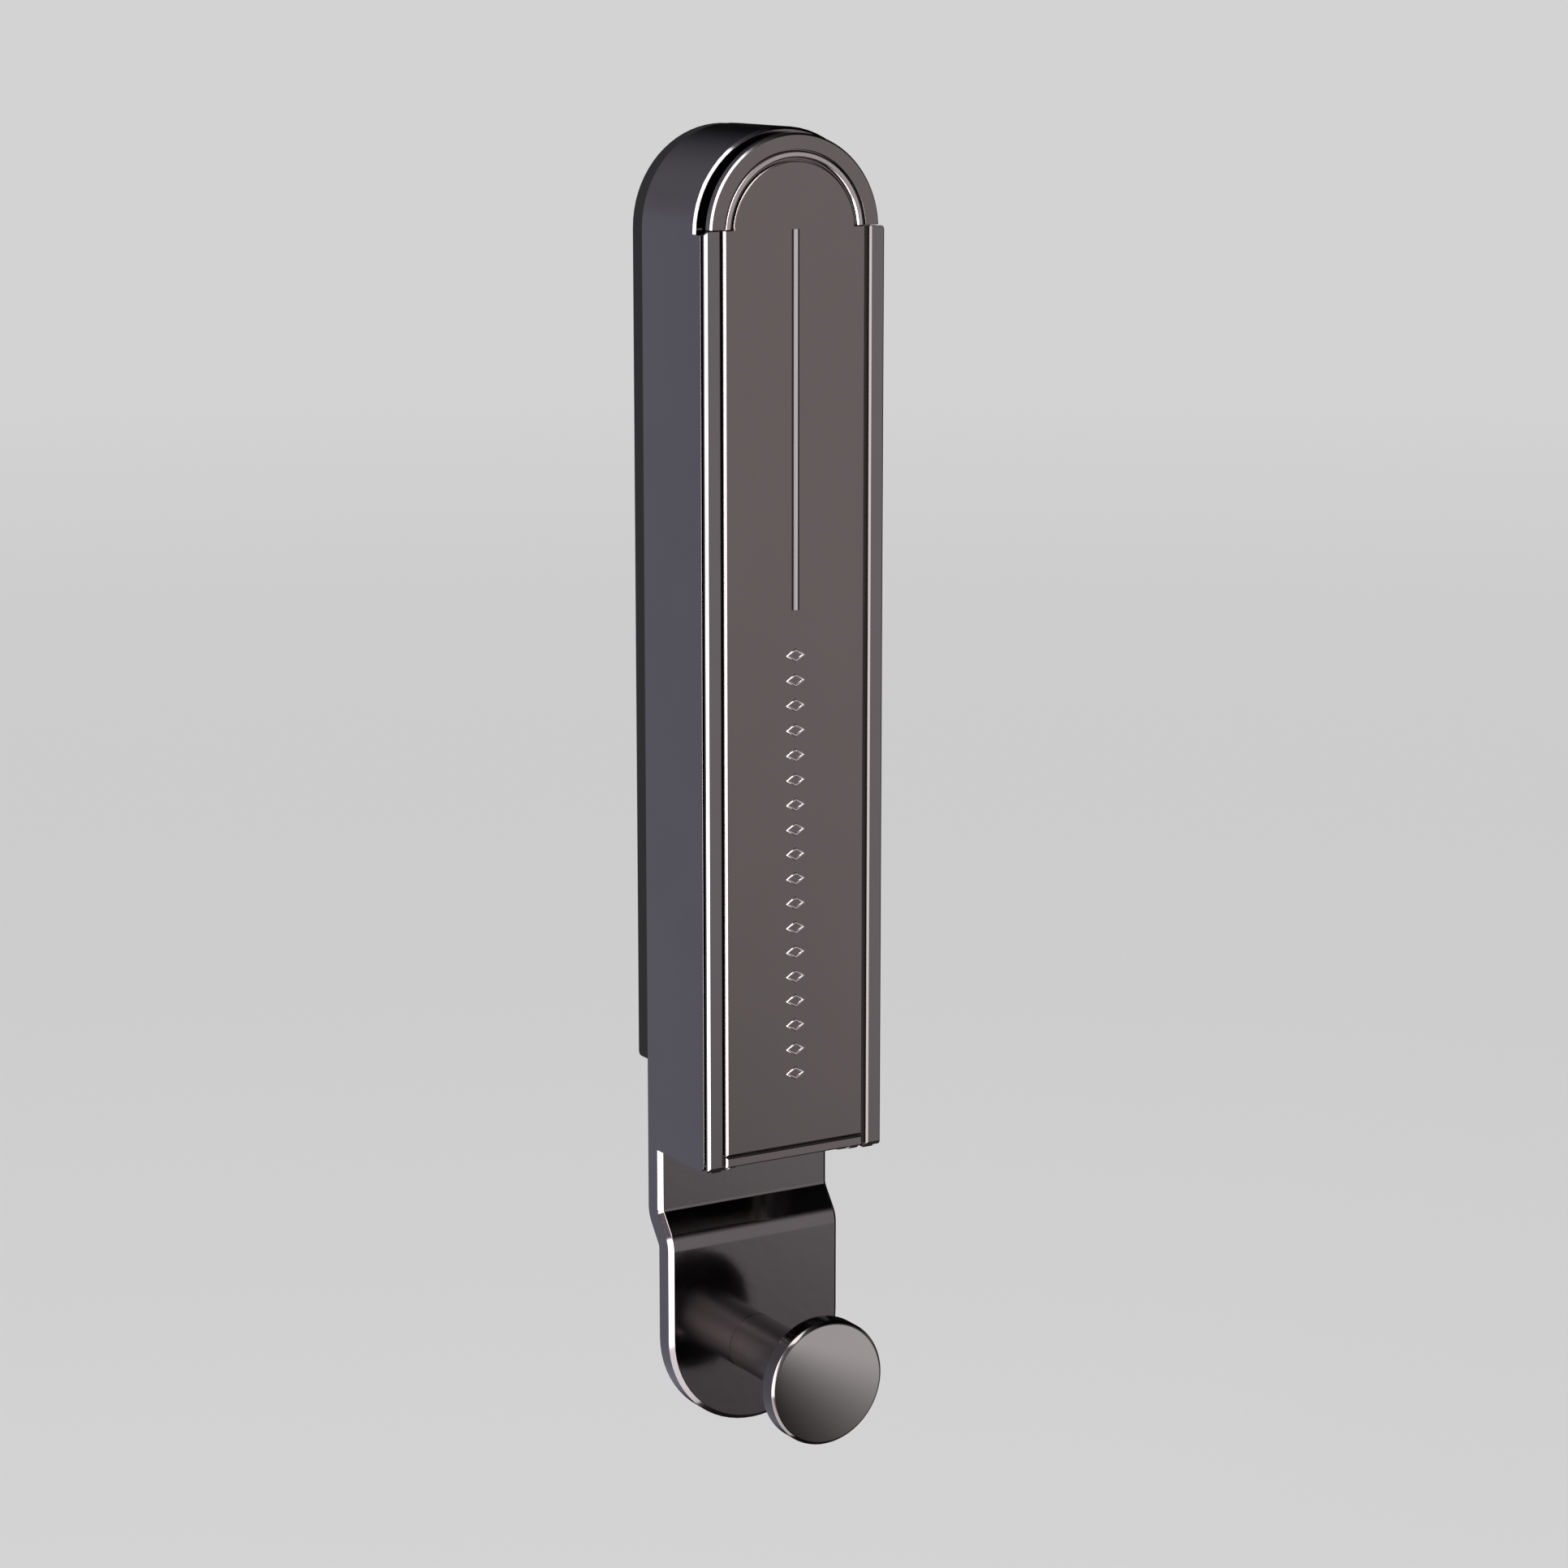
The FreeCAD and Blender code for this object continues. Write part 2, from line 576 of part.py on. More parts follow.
def rest_bumpers():
    """Rubber bumpers on the floor that the cheeks' rear edges close onto."""
    x = CHEEK_OUT - CHEEK_THICKNESS / 2
    front = CHEEK_BACK - SWING_GAP
    half_pitch = NOTCH_PITCH / 2
    last_notch = NOTCH_FIRST + (NOTCH_COUNT - 1) * NOTCH_PITCH
    bumpers = []
    for height in (NOTCH_FIRST + half_pitch, last_notch - half_pitch):
        bumpers += both_sides(rod_out(BUMPER_RADIUS, x, height, PLATE_FRONT, front))
    return Part.makeCompound(bumpers)


def arm_face():
    """The arm's front: a seat for the panel between two bevelled rails, with slots for the ears."""
    rail = bar(
        [
            (RAIL_IN, SEAT_BACK),
            (RAIL_OUT - RAIL_UNDERCUT, RAIL_BACK),
            (RAIL_OUT - RAIL_UNDERCUT, LIP_BACK),
            (RAIL_OUT, LIP_BACK),
            (RAIL_OUT, RAIL_FRONT - RAIL_OUTER_BEVEL),
            (RAIL_OUT - RAIL_OUTER_BEVEL, RAIL_FRONT),
            (RAIL_IN + RAIL_INNER_BEVEL, RAIL_FRONT),
            (RAIL_IN, RAIL_FRONT - RAIL_INNER_BEVEL),
        ],
        RAIL_BOTTOM,
        ARM_TOP,
    )
    foot = side_plate(
        [
            (RAIL_FRONT + PAST, RAIL_BOTTOM - PAST),
            (RAIL_FRONT + PAST, RAIL_BOTTOM + RAIL_FOOT_BEVEL + PAST),
            (RAIL_FRONT - RAIL_FOOT_BEVEL - PAST, RAIL_BOTTOM - PAST),
        ],
        RAIL_IN - PAST,
        RAIL_OUT + PAST,
    )
    shoulder = front_plate(
        [
            (RAIL_OUT, ARM_TOP + PAST),
            (RAIL_OUT - RAIL_TOP_ROUND - PAST, ARM_TOP + PAST),
            (RAIL_OUT + PAST, ARM_TOP - RAIL_TOP_ROUND - PAST),
            (RAIL_OUT + PAST, ARM_TOP + PAST),
        ],
        SEAT_BACK - PAST,
        RAIL_FRONT + PAST,
    )
    seat = block(-RAIL_IN, RAIL_IN, SEAT_BACK, SEAT_FRONT, FOOT_STRIP_BOTTOM, ARM_TOP)
    slot_top = STOP_HEIGHT + EAR_LUG + 2 * SWING_GAP
    slot = block(
        EAR_IN - SWING_GAP,
        CHEEK_IN,
        SEAT_BACK - PAST,
        SEAT_FRONT + PAST,
        FOOT_STRIP_BOTTOM - PAST,
        slot_top,
    )
    rails = both_sides(rail.cut([foot, shoulder]))
    return seat.cut(both_sides(slot)).fuse(rails)


def arm_cheek():
    """One cheek of the arm: pivot lug, quarter-circle stop slot and hanger notches in its rear edge."""
    hole = PIN_RADIUS + PIN_FIT
    lug = hole + LUG_WALL
    heel = HINGE_HEIGHT - CHEEK_HEEL
    plate = side_plate(
        [
            (CHEEK_BACK, heel, HEEL_CORNER),
            (HINGE_DEPTH - 2 * lug, heel, HEEL_CORNER),
            (HINGE_DEPTH, HINGE_HEIGHT - lug),
            (SEAT_FRONT - SEAT_THICKNESS / 2, HINGE_HEIGHT),
            (SEAT_FRONT - SEAT_THICKNESS / 2, ARM_TOP),
            (CHEEK_BACK, ARM_TOP),
        ],
        CHEEK_IN,
        CHEEK_OUT,
    )
    plate = plate.fuse(rod_across(lug, HINGE_DEPTH, HINGE_HEIGHT, CHEEK_IN, CHEEK_OUT))
    cuts = [rod_across(hole, HINGE_DEPTH, HINGE_HEIGHT, CHEEK_IN - PAST, CHEEK_OUT + PAST), stop_slot()]
    for i in range(NOTCH_COUNT):
        cuts.append(hanger_notch(NOTCH_FIRST + i * NOTCH_PITCH))
    return plate.cut(cuts)


def stop_slot():
    """The slot that the stop pin runs in, a quarter turn about the hinge axis."""
    half = PIN_RADIUS + SWING_GAP
    begin = math.atan2(STOP_HEIGHT - HINGE_HEIGHT, STOP_DEPTH - HINGE_DEPTH)

    def place(radius, angle):
        return point(
            CHEEK_IN - PAST,
            HINGE_DEPTH + radius * math.cos(angle),
            HINGE_HEIGHT + radius * math.sin(angle),
        )

    def curve(radius, start, middle, end):
        return Part.Arc(place(radius, start), place(radius, middle), place(radius, end)).toShape()

    quarter = math.pi / 2
    inner, outer = STOP_RADIUS - half, STOP_RADIUS + half
    sides = [
        curve(inner, begin, begin + quarter / 2, begin + quarter),
        curve(outer, begin, begin + quarter / 2, begin + quarter),
        Part.LineSegment(place(inner, begin), place(outer, begin)).toShape(),
        Part.LineSegment(place(inner, begin + quarter), place(outer, begin + quarter)).toShape(),
    ]
    run = Part.Face(Part.Wire(Part.__sortEdges__(sides)))
    run = run.extrude(FreeCAD.Vector(CHEEK_THICKNESS + 2 * PAST, 0, 0))
    ends = []
    for angle in (begin, begin + quarter):
        depth = HINGE_DEPTH + STOP_RADIUS * math.cos(angle)
        height = HINGE_HEIGHT + STOP_RADIUS * math.sin(angle)
        ends.append(rod_across(half, depth, height, CHEEK_IN - PAST, CHEEK_OUT + PAST))
    return run.fuse(ends)


def hanger_notch(height):
    """A round-bottomed notch with a bevelled mouth, where a hanger hooks in when the arm is down."""
    half = NOTCH_WIDTH / 2
    mouth = half + NOTCH_MOUTH_BEVEL + PAST
    return side_plate(
        [
            (CHEEK_BACK - PAST, height - mouth),
            (CHEEK_BACK + NOTCH_MOUTH_BEVEL, height - half),
            (CHEEK_BACK + NOTCH_DEPTH, height - half, half),
            (CHEEK_BACK + NOTCH_DEPTH, height + half, half),
            (CHEEK_BACK + NOTCH_MOUTH_BEVEL, height + half),
            (CHEEK_BACK - PAST, height + mouth),
        ],
        CHEEK_IN - PAST,
        CHEEK_OUT + PAST,
    )


def arm_profile():
    """The arm's aluminium channel: bevelled rails, panel seat and two cheeks."""
    arm = arm_face().fuse(both_sides(arm_cheek())).removeSplitter()
    cuts = []
    for x in (-CAP_SCREW_X, CAP_SCREW_X):
        cuts.append(cap_screw(x))
    return arm.cut(cuts)


def cap_screw(x):
    """A countersunk screw, flush with the panel seat, that holds the cap's tongue."""
    sink_depth = CAP_SCREW_HEAD - CAP_SCREW_RADIUS
    tip = TONGUE_BACK + THREAD_END_GAP
    shank = rod_out(CAP_SCREW_RADIUS, x, CATCH_HEIGHT, tip, SEAT_FRONT)
    head = rod_out(
        CAP_SCREW_RADIUS, x, CATCH_HEIGHT, SEAT_FRONT - sink_depth, SEAT_FRONT, CAP_SCREW_HEAD
    )
    return shank.fuse(head).removeSplitter()


def cap_screws():
    """The two screws between the arm and its end cap."""
    return Part.makeCompound([cap_screw(x) for x in (-CAP_SCREW_X, CAP_SCREW_X)])


def bead_ring(floor):
    """The bevelled ring that stands on the cap's recess floor."""
    inner = BEAD_CENTRE_RADIUS - BEAD_WIDTH / 2
    outer = BEAD_CENTRE_RADIUS + BEAD_WIDTH / 2
    shoulder = BEAD_HEIGHT - BEAD_BEVEL
    section = [
        (inner, 0),
        (inner, shoulder),
        (inner + BEAD_BEVEL, BEAD_HEIGHT),
        (outer - BEAD_BEVEL, BEAD_HEIGHT),
        (outer, shoulder),
        (outer, 0),
    ]
    sides = [[section[i], section[(i + 1) % len(section)]] for i in range(len(section))]
    return turned(sides, floor, ARCH_CENTRE)


def arch_cap():
    """The arm's cast end cap: a flat band, a bead round the panel's top, and a tongue behind the seat."""
    disc = rod_out(CAP_RADIUS, 0, ARCH_CENTRE, CAP_BACK, CAP_FRONT)
    rim = edges_where(disc, lambda x, depth, height: near(depth, CAP_FRONT))
    disc = disc.makeChamfer(CAP_BEVEL, rim)
    recess_floor = CAP_FRONT - CAP_RECESS
    recess = rod_out(CAP_RADIUS - CAP_BAND_WIDTH, 0, ARCH_CENTRE, recess_floor, CAP_FRONT + PAST)
    pocket_radius = PANEL_ARCH_RADIUS + PANEL_ARCH_GAP
    pocket = rod_out(pocket_radius, 0, ARCH_CENTRE, SEAT_FRONT, CAP_FRONT + PAST)
    cap = disc.cut([recess, pocket]).fuse(bead_ring(recess_floor))
    below = block(
        -CAP_RADIUS - PAST, CAP_RADIUS + PAST, CAP_BACK - PAST, CAP_FRONT + PAST, 0, CAP_BOTTOM
    )
    cap = cap.cut(below)
    half = CHEEK_IN - TONGUE_PLAY
    knee_top = CAP_BOTTOM + TONGUE_KNEE
    tongue_bottom = CATCH_HEIGHT - STRIKE_SIZE / 2 - TONGUE_MARGIN
    tongue = side_plate(
        [
            (TONGUE_BACK, tongue_bottom),
            (SEAT_BACK, tongue_bottom),
            (SEAT_BACK, CAP_BOTTOM),
            (SEAT_FRONT, CAP_BOTTOM),
            (SEAT_FRONT, knee_top),
            (CAP_BACK, knee_top),
            (TONGUE_BACK, CAP_BOTTOM),
        ],
        -half,
        half,
    )
    strike_half = STRIKE_SIZE / 2
    strike_recess = block(
        -strike_half,
        strike_half,
        TONGUE_BACK - PAST,
        STRIKE_FRONT,
        CATCH_HEIGHT - strike_half,
        CATCH_HEIGHT + strike_half,
    )
    holes = [
        rod_out(CAP_SCREW_RADIUS, x, CATCH_HEIGHT, TONGUE_BACK - PAST, SEAT_BACK + PAST)
        for x in (-CAP_SCREW_X, CAP_SCREW_X)
    ]
    tongue = tongue.cut([strike_recess] + holes)
    return cap.fuse(tongue).removeSplitter()


def strike_plate():
    """The steel plate on the cap's tongue that the magnet pulls."""
    half = STRIKE_SIZE / 2
    return block(-half, half, STRIKE_BACK, STRIKE_FRONT, CATCH_HEIGHT - half, CATCH_HEIGHT + half)


def panel_outline(inset=0.0):
    """The corners of the front panel, inset by a margin: straight sides, shoulders and an arched top."""
    half = PANEL_HALF - inset
    arch_half = PANEL_ARCH_RADIUS - inset
    shoulder = ARM_TOP - inset
    top = ARCH_CENTRE + arch_half
    return [
        (-half, PANEL_BOTTOM + inset),
        (half, PANEL_BOTTOM + inset),
        (half, shoulder),
        (arch_half, shoulder),
        (arch_half, top, arch_half),
        (-arch_half, top, arch_half),
        (-arch_half, shoulder),
        (-half, shoulder),
    ]


def front_panel():
    """The front panel with its engraved centre line, bevelled along its sides, foot and arch."""
    shoulder = panel_outline()[2][1]
    body = block(-PANEL_HALF, PANEL_HALF, PANEL_BACK, PANEL_FRONT, PANEL_BOTTOM, shoulder)
    head_outline = arch(PANEL_ARCH_RADIUS, shoulder - PAST, ARCH_CENTRE + PANEL_ARCH_RADIUS)
    head = front_plate(head_outline, PANEL_BACK, PANEL_FRONT)

    def on_body_rim(x, depth, height):
        return near(depth, PANEL_FRONT) and height < shoulder

    def on_head_rim(x, depth, height):
        return near(depth, PANEL_FRONT) and height > shoulder - PAST / 2

    body = body.makeChamfer(PANEL_BEVEL, edges_where(body, on_body_rim))
    head = head.makeChamfer(PANEL_BEVEL, edges_where(head, on_head_rim))
    line = block(
        -LINE_WIDTH / 2,
        LINE_WIDTH / 2,
        PANEL_FRONT - LINE_DEPTH,
        PANEL_FRONT + PAST,
        ARM_TOP - LINE_LENGTH,
        ARM_TOP,
    )
    return body.fuse(head).removeSplitter().cut(line)


def panel_tape():
    """The adhesive sheet that holds the panel on its seat."""
    return front_plate(panel_outline(TAPE_MARGIN), SEAT_FRONT, PANEL_BACK)


def foot_strip():
    """The narrow strip that closes the arm's face below the panel."""
    top = FOOT_STRIP_BOTTOM + FOOT_STRIP_HEIGHT
    strip = block(-PANEL_HALF, PANEL_HALF, SEAT_FRONT, PANEL_FRONT, FOOT_STRIP_BOTTOM, top)
    rim = edges_where(strip, lambda x, depth, height: near(depth, PANEL_FRONT))
    return strip.makeChamfer(FOOT_STRIP_BEVEL, rim)


def build():
    """Every piece by its name."""
    return {
        "wall_pad": wall_pad(),
        "base_tray": base_tray(),
        "knob": knob(),
        "knob_screw": knob_screw(),
        "hinge_bracket": hinge_bracket(),
        "bracket_screws": bracket_screws(),
        "pivot_pin": pin(HINGE_DEPTH, HINGE_HEIGHT),
        "stop_pin": pin(STOP_DEPTH, STOP_HEIGHT),
        "hinge_washers": hinge_washers(),
        "magnet_holder": magnet_holder(),
        "holder_screws": holder_screws(),
        "magnet": magnet(),
        "rest_bumpers": rest_bumpers(),
        "arm_profile": arm_profile(),
        "arch_cap": arch_cap(),
        "cap_screws": cap_screws(),
        "strike_plate": strike_plate(),
        "front_panel": front_panel(),
        "panel_tape": panel_tape(),
        "foot_strip": foot_strip(),
    }


os.makedirs("parts", exist_ok=True)
for name, shape in build().items():
    shape.exportStep(os.path.join("parts", name + ".step"))
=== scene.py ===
"""A slim gun-grey folding drying rack, closed against its wall side, in a plain pale studio."""

import logging
import math
from dataclasses import dataclass
from enum import Enum
from typing import Callable, ClassVar, Optional, Union

import bmesh
import bpy
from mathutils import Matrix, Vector


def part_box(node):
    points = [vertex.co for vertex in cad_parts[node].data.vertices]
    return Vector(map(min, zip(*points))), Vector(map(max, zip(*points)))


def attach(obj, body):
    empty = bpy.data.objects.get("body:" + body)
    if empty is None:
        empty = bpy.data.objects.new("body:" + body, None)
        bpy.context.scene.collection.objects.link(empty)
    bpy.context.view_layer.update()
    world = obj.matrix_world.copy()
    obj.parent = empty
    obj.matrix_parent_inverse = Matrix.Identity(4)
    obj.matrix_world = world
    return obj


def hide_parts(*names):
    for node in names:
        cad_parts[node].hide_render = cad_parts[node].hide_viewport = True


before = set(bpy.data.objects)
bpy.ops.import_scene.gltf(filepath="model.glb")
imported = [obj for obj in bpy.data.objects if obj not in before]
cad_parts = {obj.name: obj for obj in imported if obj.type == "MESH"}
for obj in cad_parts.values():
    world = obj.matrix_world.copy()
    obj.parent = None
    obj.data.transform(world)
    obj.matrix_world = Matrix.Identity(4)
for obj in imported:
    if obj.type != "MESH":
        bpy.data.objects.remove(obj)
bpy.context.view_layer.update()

LOG = logging.getLogger("drying_rack")
MM = 0.001
# The angle between two faces, in degrees, past which their edge stays crisp
FOLD = 32.0
LOZENGE_CORNERS = 4
# The sockets of a Mix node that mixes two colours: its inputs, then its output
SHARE, FIRST, SECOND = 0, 6, 7
MIXED = 2

Tree = bpy.types.NodeTree
Socket = bpy.types.NodeSocket
Piece = bpy.types.Object
Face = bpy.types.MeshPolygon
Colour = tuple[float, float, float, float]
Place = tuple[float, float, float]
Span = tuple[float, float]


# Colours and nodes

def linear(code: str) -> Colour:
    """Turns a colour written as sRGB hex into the linear values that a shader takes.

    Args:
        code: Six hex digits.

    Returns:
        Red, green, blue and an alpha of 1.
    """
    toe, toe_slope, offset, power = 0.04045, 12.92, 0.055, 2.4
    parts = []
    for i in (0, 2, 4):
        share = int(code[i:i + 2], 16) / 255
        curved = ((share + offset) / (1.0 + offset)) ** power
        parts.append(share / toe_slope if share <= toe else curved)
    return (parts[0], parts[1], parts[2], 1.0)


def shaded(code: str, share: float) -> Colour:
    """Makes a colour darker or lighter.

    Args:
        code: The colour as sRGB hex.
        share: How much of its light is left, where 1 leaves it as it is.

    Returns:
        Its linear values.
    """
    red, green, blue, alpha = linear(code)
    return (min(red * share, 1.0), min(green * share, 1.0), min(blue * share, 1.0), alpha)


def add_node(
    tree: Tree,
    kind: str,
    values: Optional[dict[Union[str, int], object]] = None,
    **settings: object,
) -> bpy.types.Node:
    """Adds a node with its settings and inputs.

    Args:
        tree: The tree that gets the node.
        kind: The node's type name.
        values: Inputs by name or number. An output socket is linked, and anything else is set.
        settings: The node's own properties.

    Returns:
        The new node.
    """
    node = tree.nodes.new(kind)
    for name, value in settings.items():
        setattr(node, name, value)
    for key, value in (values or {}).items():
        socket = node.inputs[key]
        if isinstance(value, Socket):
            tree.links.new(value, socket)
        else:
            socket.default_value = value
    return node


def emptied(owner: Union[bpy.types.Material, bpy.types.World]) -> Tree:
    """Switches the nodes of a material or a world on.

    Args:
        owner: The material or the world.

    Returns:
        Its tree, with no node in it.
    """
    owner.use_nodes = True
    owner.node_tree.nodes.clear()
    return owner.node_tree


def knob_centre() -> Vector:
    """Returns the middle of the knob's box, whose height is that of its axis."""
    low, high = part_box("knob")
    return (low + high) / 2


# Finishes

class Grain(Enum):
    """How a surface was made, as the eye reads it."""

    CAST = "cast"
    DRAWN_UP = "drawn_up"
    TURNED = "turned"
    BLASTED = "blasted"
    ROLLED = "rolled"


# How each grain's marks are scaled along X, Y and Z: below 1, they are drawn out
STRETCH = {
    Grain.CAST: (1.0, 1.0, 1.0),
    Grain.DRAWN_UP: (1.0, 1.0, 0.004),
    Grain.BLASTED: (1.0, 1.0, 1.0),
    Grain.ROLLED: (1.0, 1.0, 0.05),
}


@dataclass(frozen=True, kw_only=True)
class Finish:
    """A surface that is marked by its making, and a little cloudy from use.

    Args:
        name: The finish's plain name.
        colour: Its colour as sRGB hex.
        roughness: Its mean roughness.
        slot: The record's material slot that it belongs to. It is not used.
        mark: The width of one mark of its making, in millimetres.
        relief: How strongly those marks lift the surface, from 0 to 1.
        cloudiness: How far the roughness wanders where hands have touched it.
    """

    name: str
    colour: str
    roughness: float
    slot: str
    mark: float
    relief: float
    cloudiness: float

    least_roughness: ClassVar[float] = 0.02
    cloud_scale: ClassVar[float]
    cloud_detail: ClassVar[float]
    cloud_span: ClassVar[Span]
    tint_span: ClassVar[Span]
    relief_depth: ClassVar[float]

    def material(self) -> bpy.types.Material:
        """Builds the material once.

        Returns:
            The material.
        """
        made = bpy.data.materials.get(self.name)
        if not made:
            made = bpy.data.materials.new(self.name)
            self._wire(emptied(made))
        return made

    def _wire(self, tree: Tree) -> None:
        """Adds the finish's nodes.

        Args:
            tree: The empty tree.
        """
        place = add_node(tree, "ShaderNodeTexCoord").outputs["Object"]
        clouds = add_node(
            tree,
            "ShaderNodeTexNoise",
            {"Vector": place, "Scale": self.cloud_scale, "Detail": self.cloud_detail},
        ).outputs["Fac"]
        darker, lighter = (shaded(self.colour, share) for share in self.tint_span)
        tint = add_node(
            tree,
            "ShaderNodeMix",
            {SHARE: clouds, FIRST: darker, SECOND: lighter},
            data_type="RGBA",
        )
        rough = add_node(
            tree,
            "ShaderNodeMapRange",
            {
                "Value": clouds,
                "From Min": self.cloud_span[0],
                "From Max": self.cloud_span[1],
                "To Min": max(self.roughness - self.cloudiness, self.least_roughness),
                "To Max": min(self.roughness + self.cloudiness, 1.0),
            },
        )
        bump = add_node(
            tree,
            "ShaderNodeBump",
            {
                "Height": self._marks(tree, place),
                "Strength": self.relief,
                "Distance": self.mark * MM * self.relief_depth,
            },
        )
        values = {
            "Base Color": tint.outputs[MIXED],
            "Roughness": rough.outputs["Result"],
            "Normal": bump.outputs["Normal"],
        }
        shader = add_node(tree, "ShaderNodeBsdfPrincipled", values | self._optics())
        add_node(tree, "ShaderNodeOutputMaterial", {"Surface": shader.outputs["BSDF"]})

    def _marks(self, tree: Tree, place: Socket) -> Socket:
        """Adds the pattern that the making left.

        Args:
            tree: The finish's tree.
            place: The place on the piece.

        Returns:
            The pattern's height.
        """
        raise NotImplementedError

    def _optics(self) -> dict[str, float]:
        """Returns the shader's values that are the same all over the surface."""
        raise NotImplementedError


@dataclass(frozen=True, kw_only=True)
class Metal(Finish):
    """A bare, plated or anodised metal finish.

    Args:
        grain: How its surface was made.
    """

    grain: Grain
    cloudiness: float = 0.02

    cloud_scale = 55.0
    cloud_detail = 4.0
    cloud_span = (0.35, 0.65)
    tint_span = (0.94, 1.06)
    relief_depth = 0.1
    # A wave texture turns by this many radians for one unit of its scale
    wave_turn: ClassVar[float] = 20.0

    def _marks(self, tree: Tree, place: Socket) -> Socket:
        """Adds the lathe's rings round the knob's axis, or the grain of the other ways.

        Args:
            tree: The metal's tree.
            place: The place on the piece.

        Returns:
            The rings' or the grain's height.
        """
        across = 1.0 / (self.mark * MM)
        if self.grain is Grain.TURNED:
            centred = add_node(
                tree,
                "ShaderNodeMapping",
                {"Vector": place, "Location": (0.0, 0.0, -knob_centre().z)},
            )
            rings = add_node(
                tree,
                "ShaderNodeTexWave",
                {
                    "Vector": centred.outputs["Vector"],
                    "Scale": across / self.wave_turn,
                    "Distortion": 0.4,
                    "Detail": 1.0,
                },
                wave_type="RINGS",
                rings_direction="Y",
            )
            return rings.outputs["Fac"]
        scaled = add_node(
            tree, "ShaderNodeMapping", {"Vector": place, "Scale": STRETCH[self.grain]}
        )
        grains = add_node(
            tree,
            "ShaderNodeTexNoise",
            {
                "Vector": scaled.outputs["Vector"],
                "Scale": across,
                "Detail": 2.0,
                "Roughness": 0.5,
            },
        )
        return grains.outputs["Fac"]

    def _optics(self) -> dict[str, float]:
        """Returns a metal's values."""
        return {"Metallic": 1.0}


@dataclass(frozen=True, kw_only=True)
class Polymer(Finish):
    """A rubber, foam or moulded plastic finish.

    Args:
        ior: Its index of refraction.
        sheen_back: How much of its mirror reflection its pores leave, where 0.5 is a closed skin.
    """

    ior: float
    sheen_back: float = 0.5
    cloudiness: float = 0.06

    cloud_scale = 90.0
    cloud_detail = 3.0
    cloud_span = (0.0, 1.0)
    tint_span = (0.85, 1.15)
    relief_depth = 0.2

    def _marks(self, tree: Tree, place: Socket) -> Socket:
        """Adds the foam's cells or the mould's texture.

        Args:
            tree: The polymer's tree.
            place: The place on the piece.

        Returns:
            The height of the walls between the cells.
        """
        cells = add_node(
            tree, "ShaderNodeTexVoronoi", {"Vector": place, "Scale": 1.0 / (self.mark * MM)}
        )
        return cells.outputs["Distance"]

    def _optics(self) -> dict[str, float]:
        """Returns a polymer's values."""
        return {"IOR": self.ior, "Specular IOR Level": self.sheen_back}


# Die-cast aluminium under a dark nickel coat: glassy, with the faint waves of a cast skin
CASTING = Metal(
    name="dark_nickel_casting", colour="746E70", roughness=0.12, slot="gun_grey_casting",
    grain=Grain.CAST, mark=2.4, relief=0.05,
)
# The same coat on turned metal: smooth enough to show the soft boxes, with faint tool rings
TURNING = Metal(
    name="dark_nickel_turning", colour="655F5F", roughness=0.14, slot="gun_grey_turned",
    grain=Grain.TURNED, mark=0.25, relief=0.03,
)
# The knob's post, left as the lathe cut it: reflections melt into a soft sheen, and its colour is
# a little lighter than the rim's as painted light
SATIN_LIT = Metal(
    name="satin_nickel_painted_light", colour="746E6E", roughness=0.33, slot="gun_grey_turned",
    grain=Grain.TURNED, mark=0.25, relief=0.05,
)
# The knob's face, polished after turning: a mirror with hardly a ring left, its colour far lighter
# than the coat's as a painted highlight
POLISHED_HIGHLIGHT = Metal(
    name="polished_face_painted_highlight", colour="B8B2B1", roughness=0.07, slot="gun_grey_turned",
    grain=Grain.TURNED, mark=0.25, relief=0.01,
)
# Anodised aluminium as it came through the die: satin, with lines along its length
EXTRUSION = Metal(
    name="anodised_extrusion", colour="7A7475", roughness=0.2, slot="gun_grey_extrusion",
    grain=Grain.DRAWN_UP, mark=0.3, relief=0.05,
)
# The same metal, darker on the right rail's inner bevel: painted shade that dims its highlight
SHADED_BEVEL = Metal(
    name="painted_shade_bevel", colour="4C4748", roughness=0.22, slot="gun_grey_extrusion",
    grain=Grain.DRAWN_UP, mark=0.3, relief=0.05,
)
# Anodised aluminium, blasted before it was coloured: an even satin grey
PANEL = Metal(
    name="anodised_panel", colour="7A7271", roughness=0.3, slot="warm_grey_panel",
    grain=Grain.BLASTED, mark=0.22, relief=0.08,
)
# A dark bed under the thread: painted shadow lines on each side of the bright metal
SHADOW_BED = Metal(
    name="painted_shadow_bed", colour="3A3536", roughness=0.3, slot="warm_grey_panel",
    grain=Grain.BLASTED, mark=0.22, relief=0.04,
)
# Coated casting like the body, tumbled first: its skin is finer and less glassy
CAP = Metal(
    name="dark_nickel_cap", colour="7A7273", roughness=0.2, slot="gun_grey_cap",
    grain=Grain.CAST, mark=1.8, relief=0.04,
)
# The bead round the cap, buffed, with a colour lighter than the cap's: a painted highlight along
# it
BEAD_HIGHLIGHT = Metal(
    name="buffed_bead_painted_highlight", colour="B8AEB0", roughness=0.16, slot="gun_grey_cap",
    grain=Grain.CAST, mark=1.8, relief=0.03,
)
# Anodised aluminium strip, blasted like the panel but a shade lighter
STRIP = Metal(
    name="anodised_strip", colour="857C7B", roughness=0.24, slot="gun_grey_strip",
    grain=Grain.BLASTED, mark=0.22, relief=0.05,
)
# Bare aluminium where a cutter went through the colour: the brightest lines of the face
BRIGHT_CUT = Metal(
    name="bright_cut_aluminium", colour="D8D0D2", roughness=0.22, slot="warm_grey_panel",
    grain=Grain.ROLLED, mark=0.2, relief=0.05, cloudiness=0.03,
)
